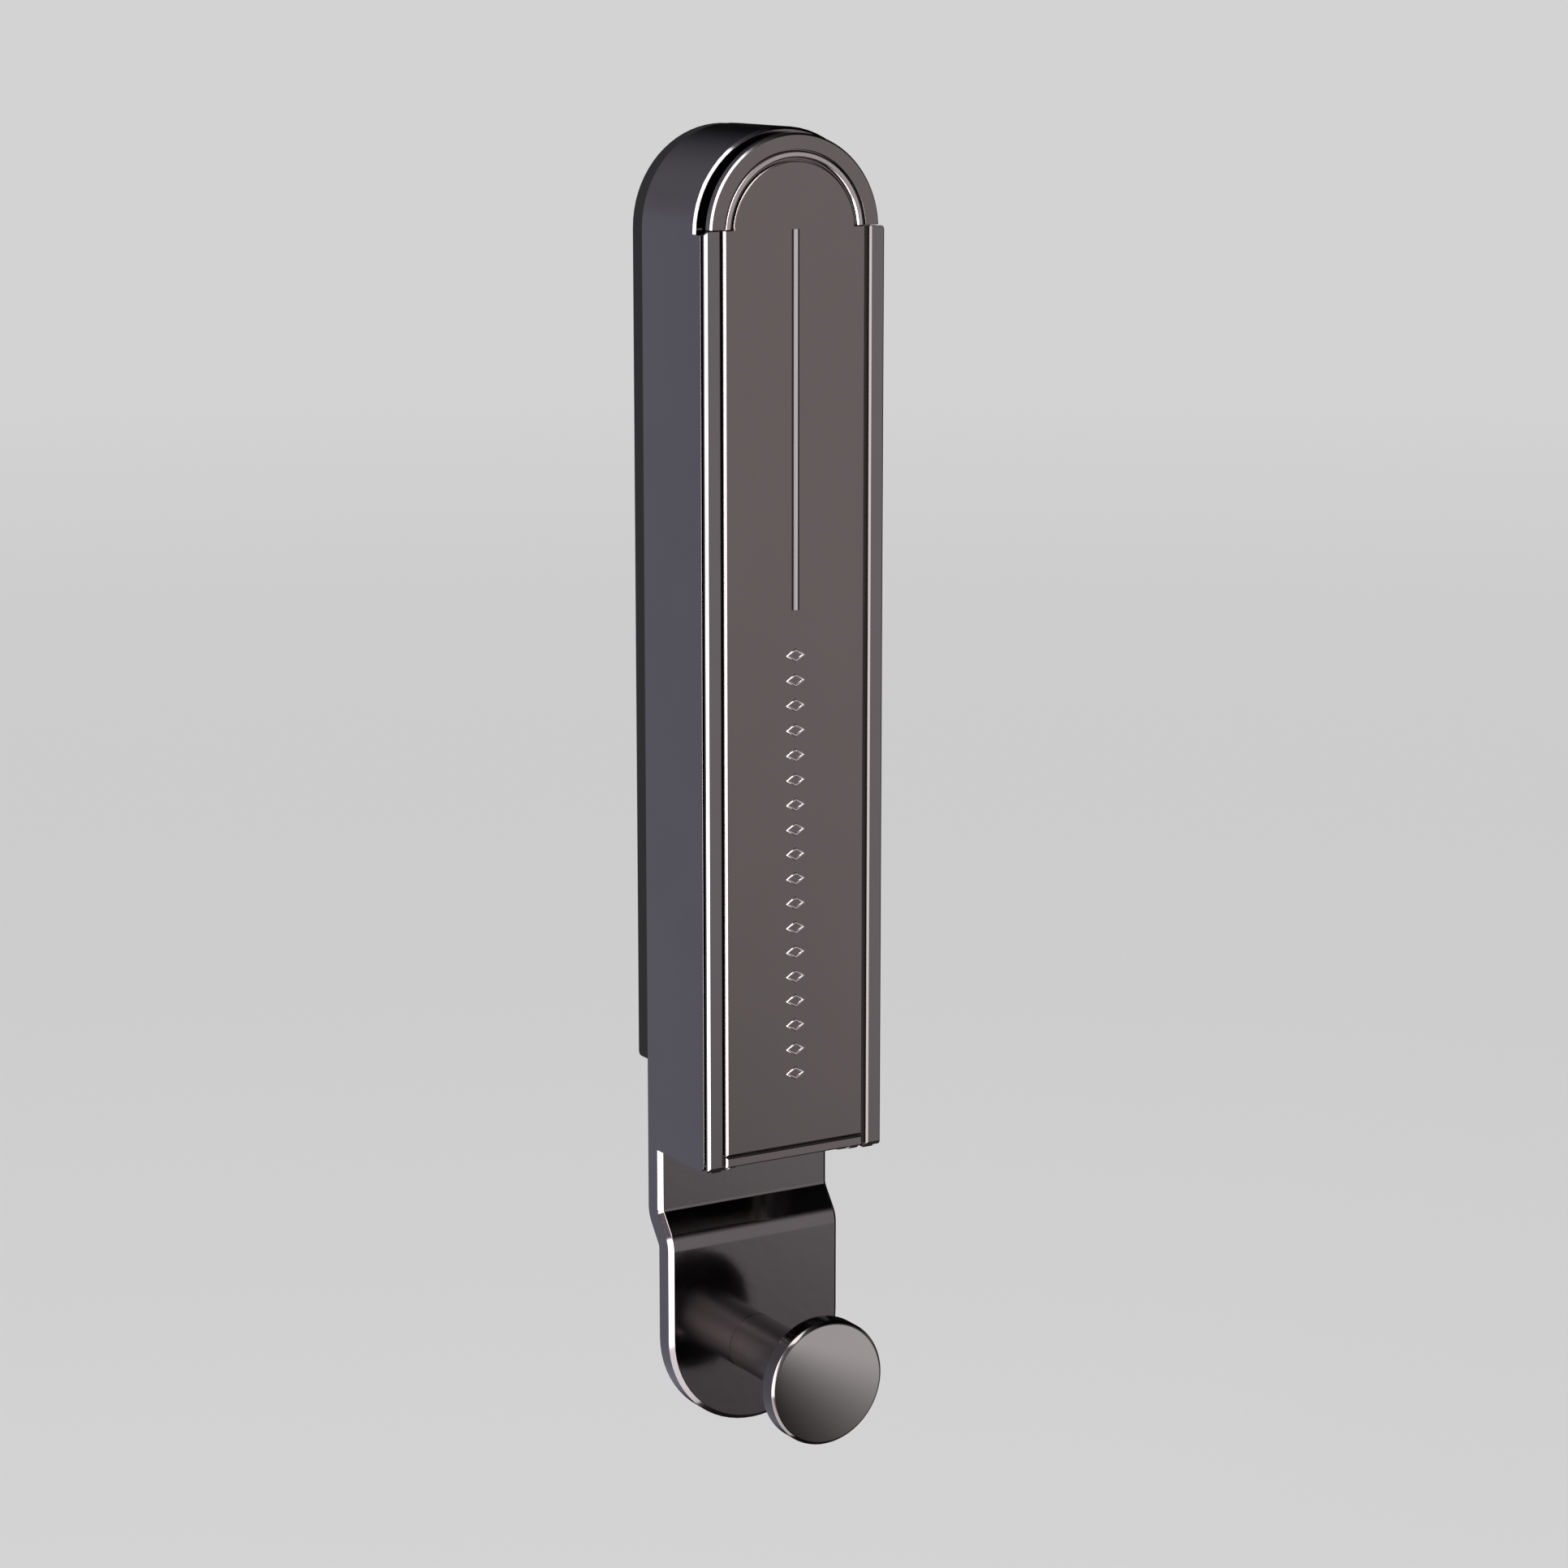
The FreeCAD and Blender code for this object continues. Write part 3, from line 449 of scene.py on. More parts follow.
# Folded steel sheet, passivated, with the mill's lines: its grey darkened as painted shade for its
# place inside the body
FOLDED = Metal(
    name="passivated_steel", colour="7B7874", roughness=0.3, slot="folded_steel",
    grain=Grain.ROLLED, mark=0.25, relief=0.1, cloudiness=0.05,
)
# Bright zinc on the screws: pale, a little cloudy from the bath
ZINC = Metal(
    name="bright_zinc", colour="B4B6B8", roughness=0.28, slot="zinc_plated_steel",
    grain=Grain.ROLLED, mark=0.2, relief=0.1, cloudiness=0.06,
)
# Ground pin steel: bright, with a fine even scratch
GROUND = Metal(
    name="ground_steel", colour="B9B6B2", roughness=0.16, slot="ground_pin_steel",
    grain=Grain.ROLLED, mark=0.12, relief=0.05, cloudiness=0.03,
)
# Cold-rolled strike plate: grey and matt beside the magnet
STRIKE = Metal(
    name="cold_rolled_steel", colour="9C9894", roughness=0.34, slot="strike_steel",
    grain=Grain.ROLLED, mark=0.3, relief=0.12, cloudiness=0.05,
)
# Bright nickel on the magnet: a warm mirror with a soft skin
MAGNET = Metal(
    name="bright_nickel", colour="C2BFBA", roughness=0.14, slot="nickel_plated_magnet",
    grain=Grain.CAST, mark=0.8, relief=0.04,
)
# Closed-cell foam rubber, cut from sheet: matt, pitted by its cells
FOAM = Polymer(
    name="cut_foam_rubber", colour="0F0E0F", roughness=0.82, slot="black_foam_rubber",
    mark=0.35, relief=0.5, ior=1.5, sheen_back=0.2,
)
# Natural nylon, moulded, with a waxy gloss: its ivory toned down as painted shade for the washers'
# place inside the hinge
NYLON = Polymer(
    name="natural_nylon", colour="B9B6AE", roughness=0.42, slot="white_nylon",
    mark=0.4, relief=0.1, ior=1.53,
)
# Black plastic, moulded against a spark-eroded face: dark, with a fine tooth
HOLDER = Polymer(
    name="black_moulded_plastic", colour="1B1B1C", roughness=0.46, slot="black_plastic",
    mark=0.3, relief=0.2, ior=1.5,
)
# Soft rubber bumpers: matt dark grey
BUMPER = Polymer(
    name="soft_bumper_rubber", colour="232222", roughness=0.7, slot="bumper_rubber",
    mark=0.3, relief=0.2, ior=1.52,
)
# Double-sided tape on a paper-like carrier: pale, with a fine crepe
TAPE = Polymer(
    name="double_sided_tape", colour="C9C6BE", roughness=0.6, slot="adhesive_tape",
    mark=0.4, relief=0.2, ior=1.48,
)


# Meshes

def finished(work: bmesh.types.BMesh, name: str, fold: float = FOLD) -> Piece:
    """Turns a mesh being worked on into an object that is smooth where it turns gently.

    Args:
        work: The mesh, which is freed.
        name: The name of the new piece.
        fold: The angle between two faces, in degrees, past which their edge stays crisp.

    Returns:
        The new object.
    """
    mesh = bpy.data.meshes.new(name)
    work.to_mesh(mesh)
    work.free()
    crease(mesh, fold)
    piece = bpy.data.objects.new(name, mesh)
    bpy.context.scene.collection.objects.link(piece)
    return piece


def crease(mesh: bpy.types.Mesh, fold: float) -> None:
    """Shades a mesh smooth, with its edges past a fold, in degrees, crisp."""
    mesh.shade_smooth()
    mesh.set_sharp_from_angle(angle=math.radians(fold))


def merged_copy(node: str, name: str, fold: float = FOLD) -> Piece:
    """Copies a frame node as one welded mesh, with smooth rounds and crisp edges.

    Args:
        node: The frame's node.
        name: The name of the new piece.
        fold: The angle between two faces, in degrees, past which their edge stays crisp.

    Returns:
        The new object, with its place in its mesh.
    """
    weld, sliver, flat = 2e-6, 1e-6, math.radians(0.05)
    work = bmesh.new()
    work.from_mesh(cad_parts[node].data)
    bmesh.ops.remove_doubles(work, verts=work.verts, dist=weld)
    bmesh.ops.dissolve_degenerate(work, dist=sliver, edges=work.edges)
    bmesh.ops.dissolve_limit(
        work,
        angle_limit=flat,
        verts=work.verts,
        edges=work.edges,
        use_dissolve_boundaries=False,
    )
    return finished(work, name, fold)


def bridged(work: bmesh.types.BMesh, rings: list[list[bmesh.types.BMVert]]) -> None:
    """Joins two rings of vertices by a wall, and closes both.

    Args:
        work: The mesh that holds them.
        rings: The two rings, with as many vertices each.
    """
    first, second = rings
    count = len(first)
    for i in range(count):
        j = (i + 1) % count
        work.faces.new((first[i], first[j], second[j], second[i]))
    for ring in rings:
        work.faces.new(ring)


def soften(piece: Piece, width: float, fold: float = FOLD) -> None:
    """Rounds a piece's crisp edges a little, and lets its flats rule its shading.

    Args:
        piece: The piece.
        width: The width of the round, in millimetres, or 0 for none.
        fold: The angle between two faces, in degrees, past which their edge is rounded.
    """
    segments, flats_only = 2, 100
    if width:
        bevel = piece.modifiers.new("broken edges", "BEVEL")
        bevel.width = width * MM
        bevel.segments = segments
        bevel.limit_method = "ANGLE"
        bevel.angle_limit = math.radians(fold)
        bevel.use_clamp_overlap = True
        bevel.harden_normals = False
    weigh = piece.modifiers.new("flat faces first", "WEIGHTED_NORMAL")
    weigh.keep_sharp = True
    weigh.weight = flats_only
    settle(piece)


def settle(piece: Piece) -> None:
    """Replaces a piece's mesh by what its modifiers make of it, and removes them.

    Args:
        piece: The piece.
    """
    graph = bpy.context.evaluated_depsgraph_get()
    mesh = bpy.data.meshes.new_from_object(
        piece.evaluated_get(graph), preserve_all_data_layers=True, depsgraph=graph
    )
    piece.modifiers.clear()
    piece.data = mesh


def install(piece: Piece, body: str, finish: Finish, *nodes: str) -> Piece:
    """Dresses a piece, hangs it on its body and hides the frame's nodes that it replaces.

    Args:
        piece: The piece.
        body: The body that it moves with.
        finish: Its finish.
        nodes: The frame's nodes that it replaces.

    Returns:
        The piece.
    """
    piece.data.materials.clear()
    piece.data.materials.append(finish.material())
    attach(piece, body)
    if nodes:
        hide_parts(*nodes)
    LOG.info("%s rides on %s with %d faces", piece.name, body, len(piece.data.polygons))
    return piece


def rebuilt(
    node: str, name: str, body: str, finish: Finish, edge: float = 0.0, fold: float = FOLD
) -> Piece:
    """Puts a copy of a frame node in its place, with broken edges and its finish.

    Args:
        node: The frame's node.
        name: The name of the new piece.
        body: The body that it moves with.
        finish: Its finish.
        edge: The width of its broken edges, in millimetres, or 0 for none.
        fold: The angle between two faces, in degrees, past which their edge is broken.

    Returns:
        The piece.
    """
    piece = merged_copy(node, name, fold)
    soften(piece, edge, fold)
    return install(piece, body, finish, node)


def refinish(piece: Piece, finish: Finish, chosen: Callable[[Face], bool]) -> None:
    """Gives some of a dressed piece's faces a second finish.

    Args:
        piece: The piece.
        finish: The second finish.
        chosen: Says which faces get it.
    """
    piece.data.materials.append(finish.material())
    last = len(piece.data.materials) - 1
    for face in piece.data.polygons:
        if chosen(face):
            face.material_index = last


def repaint(node: str, finish: Finish) -> None:
    """Gives a frame node that keeps its shape a better finish.

    Args:
        node: The frame's node.
        finish: Its finish.
    """
    material = finish.material()
    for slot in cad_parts[node].material_slots:
        slot.material = material
    LOG.info("%s keeps its shape and gets %s", node, finish.name)


# Sub-assemblies

@dataclass
class WallBody:
    """The cast body with its round tail, and the foam pad behind it.

    Args:
        edge: The width of their broken edges, in millimetres.
    """

    edge: float = 0.06

    def build(self) -> None:
        """Builds the body's pieces."""
        rebuilt("base_tray", "cast_body", "base", CASTING, self.edge)
        rebuilt("wall_pad", "foam_pad", "base", FOAM, self.edge)


@dataclass
class CoatKnob:
    """The turned knob.

    Args:
        edge: The width of its broken edges, in millimetres.
        fold: The angle between two faces, in degrees, past which their edge stays crisp.
        post_radius: The radius that holds the post and leaves the head out.
        face_depth: How far behind its front the polished face reaches.
        face_lean: The least forward part of the normal of a polished face.
        side_lean: The most forward part of the normal of a face on the post's side.
    """

    edge: float = 0.12
    fold: float = 24.0
    post_radius: float = 6.3
    face_depth: float = 1.5
    face_lean: float = 0.97
    side_lean: float = 0.5

    def build(self) -> None:
        """Builds the knob, with its face polished and lighter as a painted highlight, and its post
        left satin and a little lighter as painted light.
        """
        knob = rebuilt("knob", "coat_knob", "base", TURNING, self.edge, self.fold)
        corners = knob.data.vertices
        front = min(corner.co.y for corner in corners)
        axis = knob_centre().z

        def on_face(face: Face) -> bool:
            """Says whether a face is part of the knob's domed front."""
            near_front = face.center.y < front + self.face_depth * MM
            return face.normal.y < -self.face_lean and near_front

        def on_post(face: Face) -> bool:
            """Says whether a face is part of the post's side."""
            places = [corners[i].co for i in face.vertices]
            return abs(face.normal.y) < self.side_lean and all(
                math.hypot(place.x, place.z - axis) < self.post_radius * MM for place in places
            )

        # The face gets a far lighter finish, a painted highlight, and the post a slightly lighter
        # one, painted light
        refinish(knob, POLISHED_HIGHLIGHT, on_face)
        refinish(knob, SATIN_LIT, on_post)


@dataclass
class Hinge:
    """The folded bracket, both pins, the washers and the bumpers.

    Args:
        edge: The width of the bracket's broken edges, in millimetres.
    """

    edge: float = 0.1

    def build(self) -> None:
        """Builds the hinge's pieces."""
        # The bracket's darker grey is painted shade
        rebuilt("hinge_bracket", "ear_bracket", "base", FOLDED, self.edge)
        repaint("pivot_pin", GROUND)
        repaint("stop_pin", GROUND)
        # The washers' toned-down ivory is painted shade
        repaint("hinge_washers", NYLON)
        repaint("rest_bumpers", BUMPER)


@dataclass
class Catch:
    """The magnet in its moulded holder, and the strike plate on the arm."""

    def build(self) -> None:
        """Finishes the catch's pieces."""
        repaint("magnet_holder", HOLDER)
        repaint("magnet", MAGNET)
        repaint("strike_plate", STRIKE)


@dataclass
class CrossScrews:
    """One node's screws, with the cross recesses that a driver needs.

    Args:
        node: The frame's node.
        body: The body that it moves with.
        heads: The middle of each head's face in the frame, in millimetres.
        reach: How far the cross reaches from its middle.
        depth: How deep it is. It is negative where the head faces the wall.
        slimness: Half the width of the cross's arms, as a share of their reach.
        overshoot: How far its cutter stands out of the head, as a share of the depth.
    """

    node: str
    body: str
    heads: tuple[Place, ...]
    reach: float
    depth: float
    slimness: float = 0.24
    overshoot: float = 0.2

    def build(self) -> None:
        """Cuts the recesses into a copy of the screws."""
        screws = merged_copy(self.node, "driven_" + self.node)
        cutter = self._crosses()
        cut = screws.modifiers.new("recesses", "BOOLEAN")
        cut.operation = "DIFFERENCE"
        cut.solver = "EXACT"
        cut.object = cutter
        settle(screws)
        bpy.data.objects.remove(cutter)
        crease(screws.data, FOLD)
        install(screws, self.body, ZINC, self.node)

    def _crosses(self) -> Piece:
        """Builds one cross-shaped prism for each head.

        Returns:
            The prisms as one object.
        """
        tip, side = self.reach, self.reach * self.slimness
        outline = [(side, side), (side, tip), (-side, tip), (-side, side), (-tip, side)]
        outline += [(-tip, -side), (-side, -side), (-side, -tip), (side, -tip), (side, -side)]
        outline += [(tip, -side), (tip, side)]
        work = bmesh.new()
        for x, y, z in self.heads:
            rings = [
                [work.verts.new(((x + u) * MM, level * MM, (z + v) * MM)) for u, v in outline]
                for level in (y - self.depth * self.overshoot, y + self.depth)
            ]
            bridged(work, rings)
        bmesh.ops.recalc_face_normals(work, faces=work.faces)
        return finished(work, "cross cutter")


SCREWS = (
    CrossScrews(
        node="bracket_screws", body="base", reach=1.8, depth=1.3,
        heads=((0.0, -12.1, -81.0), (0.0, -12.1, -69.0)),
    ),
    CrossScrews(
        node="holder_screws", body="base", reach=1.3, depth=1.0,
        heads=((-9.3, -12.0, 70.0), (9.3, -12.0, 70.0)),
    ),
    CrossScrews(
        node="knob_screw", body="base", reach=2.1, depth=-1.5,
        heads=((0.0, -7.8, -134.5),),
    ),
    CrossScrews(
        node="cap_screws", body="arm", reach=1.3, depth=0.9,
        heads=((-9.8, -26.0, 70.0), (9.8, -26.0, 70.0)),
    ),
)


@dataclass
class Arm:
    """The hinged arm: its extruded channel, end cap, face panel and foot strip.

    Args:
        channel_edge: The width of the channel's broken edges, in millimetres.
        cap_edge: The width of the cap's broken edges.
        shade_band: Between which distances to the right the bevel with painted shade lies.
        shade_lean: The least part of its normal to the left, and also forward.
        arch_centre: The height of the arch's centre in the frame.
        bead_band: The radii between which the cap's bead lies.
        bead_depth: How far behind the cap's front the bead reaches.
    """

    channel_edge: float = 0.04
    cap_edge: float = 0.05
    shade_band: Span = (15.0, 17.0)
    shade_lean: float = 0.3
    arch_centre: float = 81.1
    bead_band: Span = (13.3, 14.8)
    bead_depth: float = 0.6

    def build(self) -> None:
        """Builds the arm's pieces."""
        channel = rebuilt("arm_profile", "arm_channel", "arm", EXTRUSION, self.channel_edge)
        # The right rail's inner bevel gets a darker finish: painted shade
        refinish(channel, SHADED_BEVEL, self._is_shaded_bevel)
        cap = rebuilt("arch_cap", "end_cap", "arm", CAP, self.cap_edge)
        # The bead gets a lighter finish: a painted highlight
        self._paint_bead_highlight(cap)
        rebuilt("front_panel", "face_panel", "arm", PANEL)
        rebuilt("foot_strip", "lower_strip", "arm", STRIP)
        repaint("panel_tape", TAPE)

    def _is_shaded_bevel(self, face: Face) -> bool:
        """Finds the right rail's inner bevel, which gets painted shade.

        Args:
            face: A face of the channel.

        Returns:
            Whether it is part of that bevel.
        """
        low, high = self.shade_band
        leans = face.normal.x < -self.shade_lean and face.normal.y < -self.shade_lean
        return leans and low * MM < face.center.x < high * MM

    def _paint_bead_highlight(self, cap: Piece) -> None:
        """Gives the bead round the cap its lighter finish, a painted highlight.

        Args:
            cap: The cap.
        """
        low, high = self.bead_band
        corners = cap.data.vertices
        front = min(corner.co.y for corner in corners)

        def on_bead(face: Face) -> bool:
            """Says whether all corners of a face lie on the bead."""
            places = [corners[i].co for i in face.vertices]
            return all(
                low * MM < math.hypot(place.x, place.z - self.arch_centre * MM) < high * MM
                and place.y < front + self.bead_depth * MM
                for place in places
            )

        refinish(cap, BEAD_HIGHLIGHT, on_bead)


@dataclass
class FaceTrim:
    """The bright thread let into the face panel, and the column of raised lozenges below it.

    Args:
        face: How far the panel's face stands in front of the wall, in millimetres.
        thread_ends: The heights of the thread's ends.
        thread_width: The width of its bright head.
        head_step: How far the edges of that head stand above the dark bed of painted shadow.
        crown: How far its middle stands above its edges.
        crown_pieces: Into how many flats the crown is divided.
        thread_fold: The angle, in degrees, past which the thread's edges stay crisp.
        bed_width: The width of the dark bed that it lies in, painted shadow on each side.
        bed_lift: How far that dark bed stands above the panel.
        tongue_width: The width of its tongue, which fills the panel's groove.
        tongue_depth: How deep that tongue reaches.
        column_ends: The heights of the column's ends.
        lozenges: How many lozenges it has.
        lozenge_width: The width of each, along the middle of its line.
        lozenge_height: The height of each, along the middle of its line.
        stroke: The width of the line that draws them.
        stroke_sides: How many sides that line has round it.
    """

    face: float = 27.1
    thread_ends: Span = (11.95, 81.75)
    thread_width: float = 0.86
    head_step: float = 0.04
    crown: float = 0.05
    crown_pieces: int = 8
    thread_fold: float = 50.0
    bed_width: float = 1.6
    bed_lift: float = 0.03
    tongue_width: float = 0.66
    tongue_depth: float = 0.28
    column_ends: Span = (-76.5, 3.5)
    lozenges: int = 18
    lozenge_width: float = 3.6
    lozenge_height: float = 2.0
    stroke: float = 0.56
    stroke_sides: int = 8

    def build(self) -> None:
        """Builds the trim."""
        step_middle = self.bed_lift + self.head_step / 2
        head_foot = -(self.face + step_middle) * MM
        thread = install(self._thread(), "arm", BRIGHT_CUT)
        # The bed's faces get the dark finish: painted shadow beside the thread
        refinish(thread, SHADOW_BED, lambda face: face.center.y > head_foot)
        install(self._column(), "arm", BRIGHT_CUT)

    def _profile(self) -> list[tuple[float, float]]:
        """Draws the thread's section: a shallow crown on a thin bed, with a tongue behind.

        Returns:
            Its corners, each as the distance to the right and from the wall.
        """
        half, bed, tongue = self.thread_width / 2, self.bed_width / 2, self.tongue_width / 2
        top, foot = self.face + self.bed_lift, self.face - self.tongue_depth
        points = [(-bed, self.face), (-bed, top), (-half, top)]
        for i in range(self.crown_pieces + 1):
            across = -1.0 + 2.0 * i / self.crown_pieces
            rise = self.crown * (1.0 - across * across)
            points.append((half * across, top + self.head_step + rise))
        points += [(half, top), (bed, top), (bed, self.face), (tongue, self.face)]
        points += [(tongue, foot), (-tongue, foot), (-tongue, self.face)]
        return points

    def _thread(self) -> Piece:
        """Builds the thread, which is as long as the panel's groove.

        Returns:
            The thread.
        """
        work = bmesh.new()
        rings = [
            [work.verts.new((x * MM, -depth * MM, height * MM)) for x, depth in self._profile()]
            for height in self.thread_ends
        ]
        bridged(work, rings)
        bmesh.ops.recalc_face_normals(work, faces=work.faces)
        return finished(work, "panel_thread", self.thread_fold)

    def _column(self) -> Piece:
        """Builds the column of lozenges with Geometry Nodes.

        Returns:
            The column as a plain mesh.
        """
        low, high = self.column_ends
        inputs = {
            "Count": ("NodeSocketInt", self.lozenges),
            "Foot": ("NodeSocketVector", (0.0, -self.face * MM, low * MM)),
            "Head": ("NodeSocketVector", (0.0, -self.face * MM, high * MM)),
            "Half Size": (
                "NodeSocketVector",
                (self.lozenge_width / 2, self.lozenge_height / 2, 1.0),
            ),
            "Half Stroke": ("NodeSocketFloat", self.stroke * MM / 2),
            "Finish": ("NodeSocketMaterial", BRIGHT_CUT.material()),
        }
        tree, keys = self._column_tree({name: kind for name, (kind, _) in inputs.items()})
        column = bpy.data.objects.new("lozenge_column", bpy.data.meshes.new("lozenge_column"))
        bpy.context.scene.collection.objects.link(column)
        layout = column.modifiers.new("lozenges", "NODES")
        layout.node_group = tree
        for name, (_, value) in inputs.items():
            layout[keys[name]] = value
        settle(column)
        return column

    def _column_tree(self, kinds: dict[str, str]) -> tuple[Tree, dict[str, str]]:
        """Builds the tree that sets flat lozenges of round wire in a column.

        Args:
            kinds: The socket type of each named input.

        Returns:
            The tree, and the identifier of each input's socket.
        """
        tree = bpy.data.node_groups.new("lozenge column", "GeometryNodeTree")
        tree.interface.new_socket(
            "Geometry", in_out="OUTPUT", socket_type="NodeSocketGeometry"
        )
        keys = {
            name: tree.interface.new_socket(name, in_out="INPUT", socket_type=kind).identifier
            for name, kind in kinds.items()
        }
        given = add_node(tree, "NodeGroupInput").outputs
        line = add_node(
            tree,
            "GeometryNodeMeshLine",
            {"Count": given["Count"], "Start Location": given["Foot"], "Offset": given["Head"]},
            mode="END_POINTS",
        )
        corners = add_node(
            tree, "GeometryNodeMeshCircle", {"Vertices": LOZENGE_CORNERS, "Radius": MM}
        )
        upright = add_node(
            tree,
            "GeometryNodeTransform",
            {
                "Geometry": corners.outputs["Mesh"],
                "Rotation": (math.radians(90.0), 0.0, 0.0),
                "Scale": given["Half Size"],
            },
        )
        path = add_node(
            tree, "GeometryNodeMeshToCurve", {"Mesh": upright.outputs["Geometry"]}
        )
        wire = add_node(
            tree,
            "GeometryNodeCurvePrimitiveCircle",
            {"Resolution": self.stroke_sides, "Radius": given["Half Stroke"]},
        )
        drawn = add_node(
            tree,
            "GeometryNodeCurveToMesh",
            {"Curve": path.outputs["Curve"], "Profile Curve": wire.outputs["Curve"]},
        )
        placed = add_node(
            tree,
            "GeometryNodeInstanceOnPoints",
            {"Points": line.outputs["Mesh"], "Instance": drawn.outputs["Mesh"]},
        )
        real = add_node(
            tree, "GeometryNodeRealizeInstances", {"Geometry": placed.outputs["Instances"]}
        )
        smooth = add_node(
            tree, "GeometryNodeSetShadeSmooth", {"Geometry": real.outputs["Geometry"]}
        )
        painted = add_node(
            tree,
            "GeometryNodeSetMaterial",
            {"Geometry": smooth.outputs["Geometry"], "Material": given["Finish"]},
        )
        add_node(tree, "NodeGroupOutput", {"Geometry": painted.outputs["Geometry"]})
        return tree, keys


@dataclass(frozen=True)
class Softbox:
    """A soft light that faces a target.

    Args:
        name: Its name.
        place: The middle of its face, in metres.
        target: What it points at.
        width: Its width, in metres.
        height: Its height, in metres.
        power: Its power, in watts.
    """

    name: str
    place: Place
    target: Place
    width: float
    height: float
    power: float

    def build(self) -> None:
        """Hangs it, where the camera doesn't see it."""
        lamp = bpy.data.lights.new(self.name, "AREA")
        lamp.shape = "RECTANGLE"
        lamp.size = self.width
        lamp.size_y = self.height
        lamp.energy = self.power
        box = bpy.data.objects.new(self.name, lamp)
        box.location = self.place
        heading = Vector(self.target) - Vector(self.place)
        box.rotation_euler = heading.to_track_quat("-Z", "Y").to_euler()
        box.visible_camera = False
        bpy.context.scene.collection.objects.link(box)


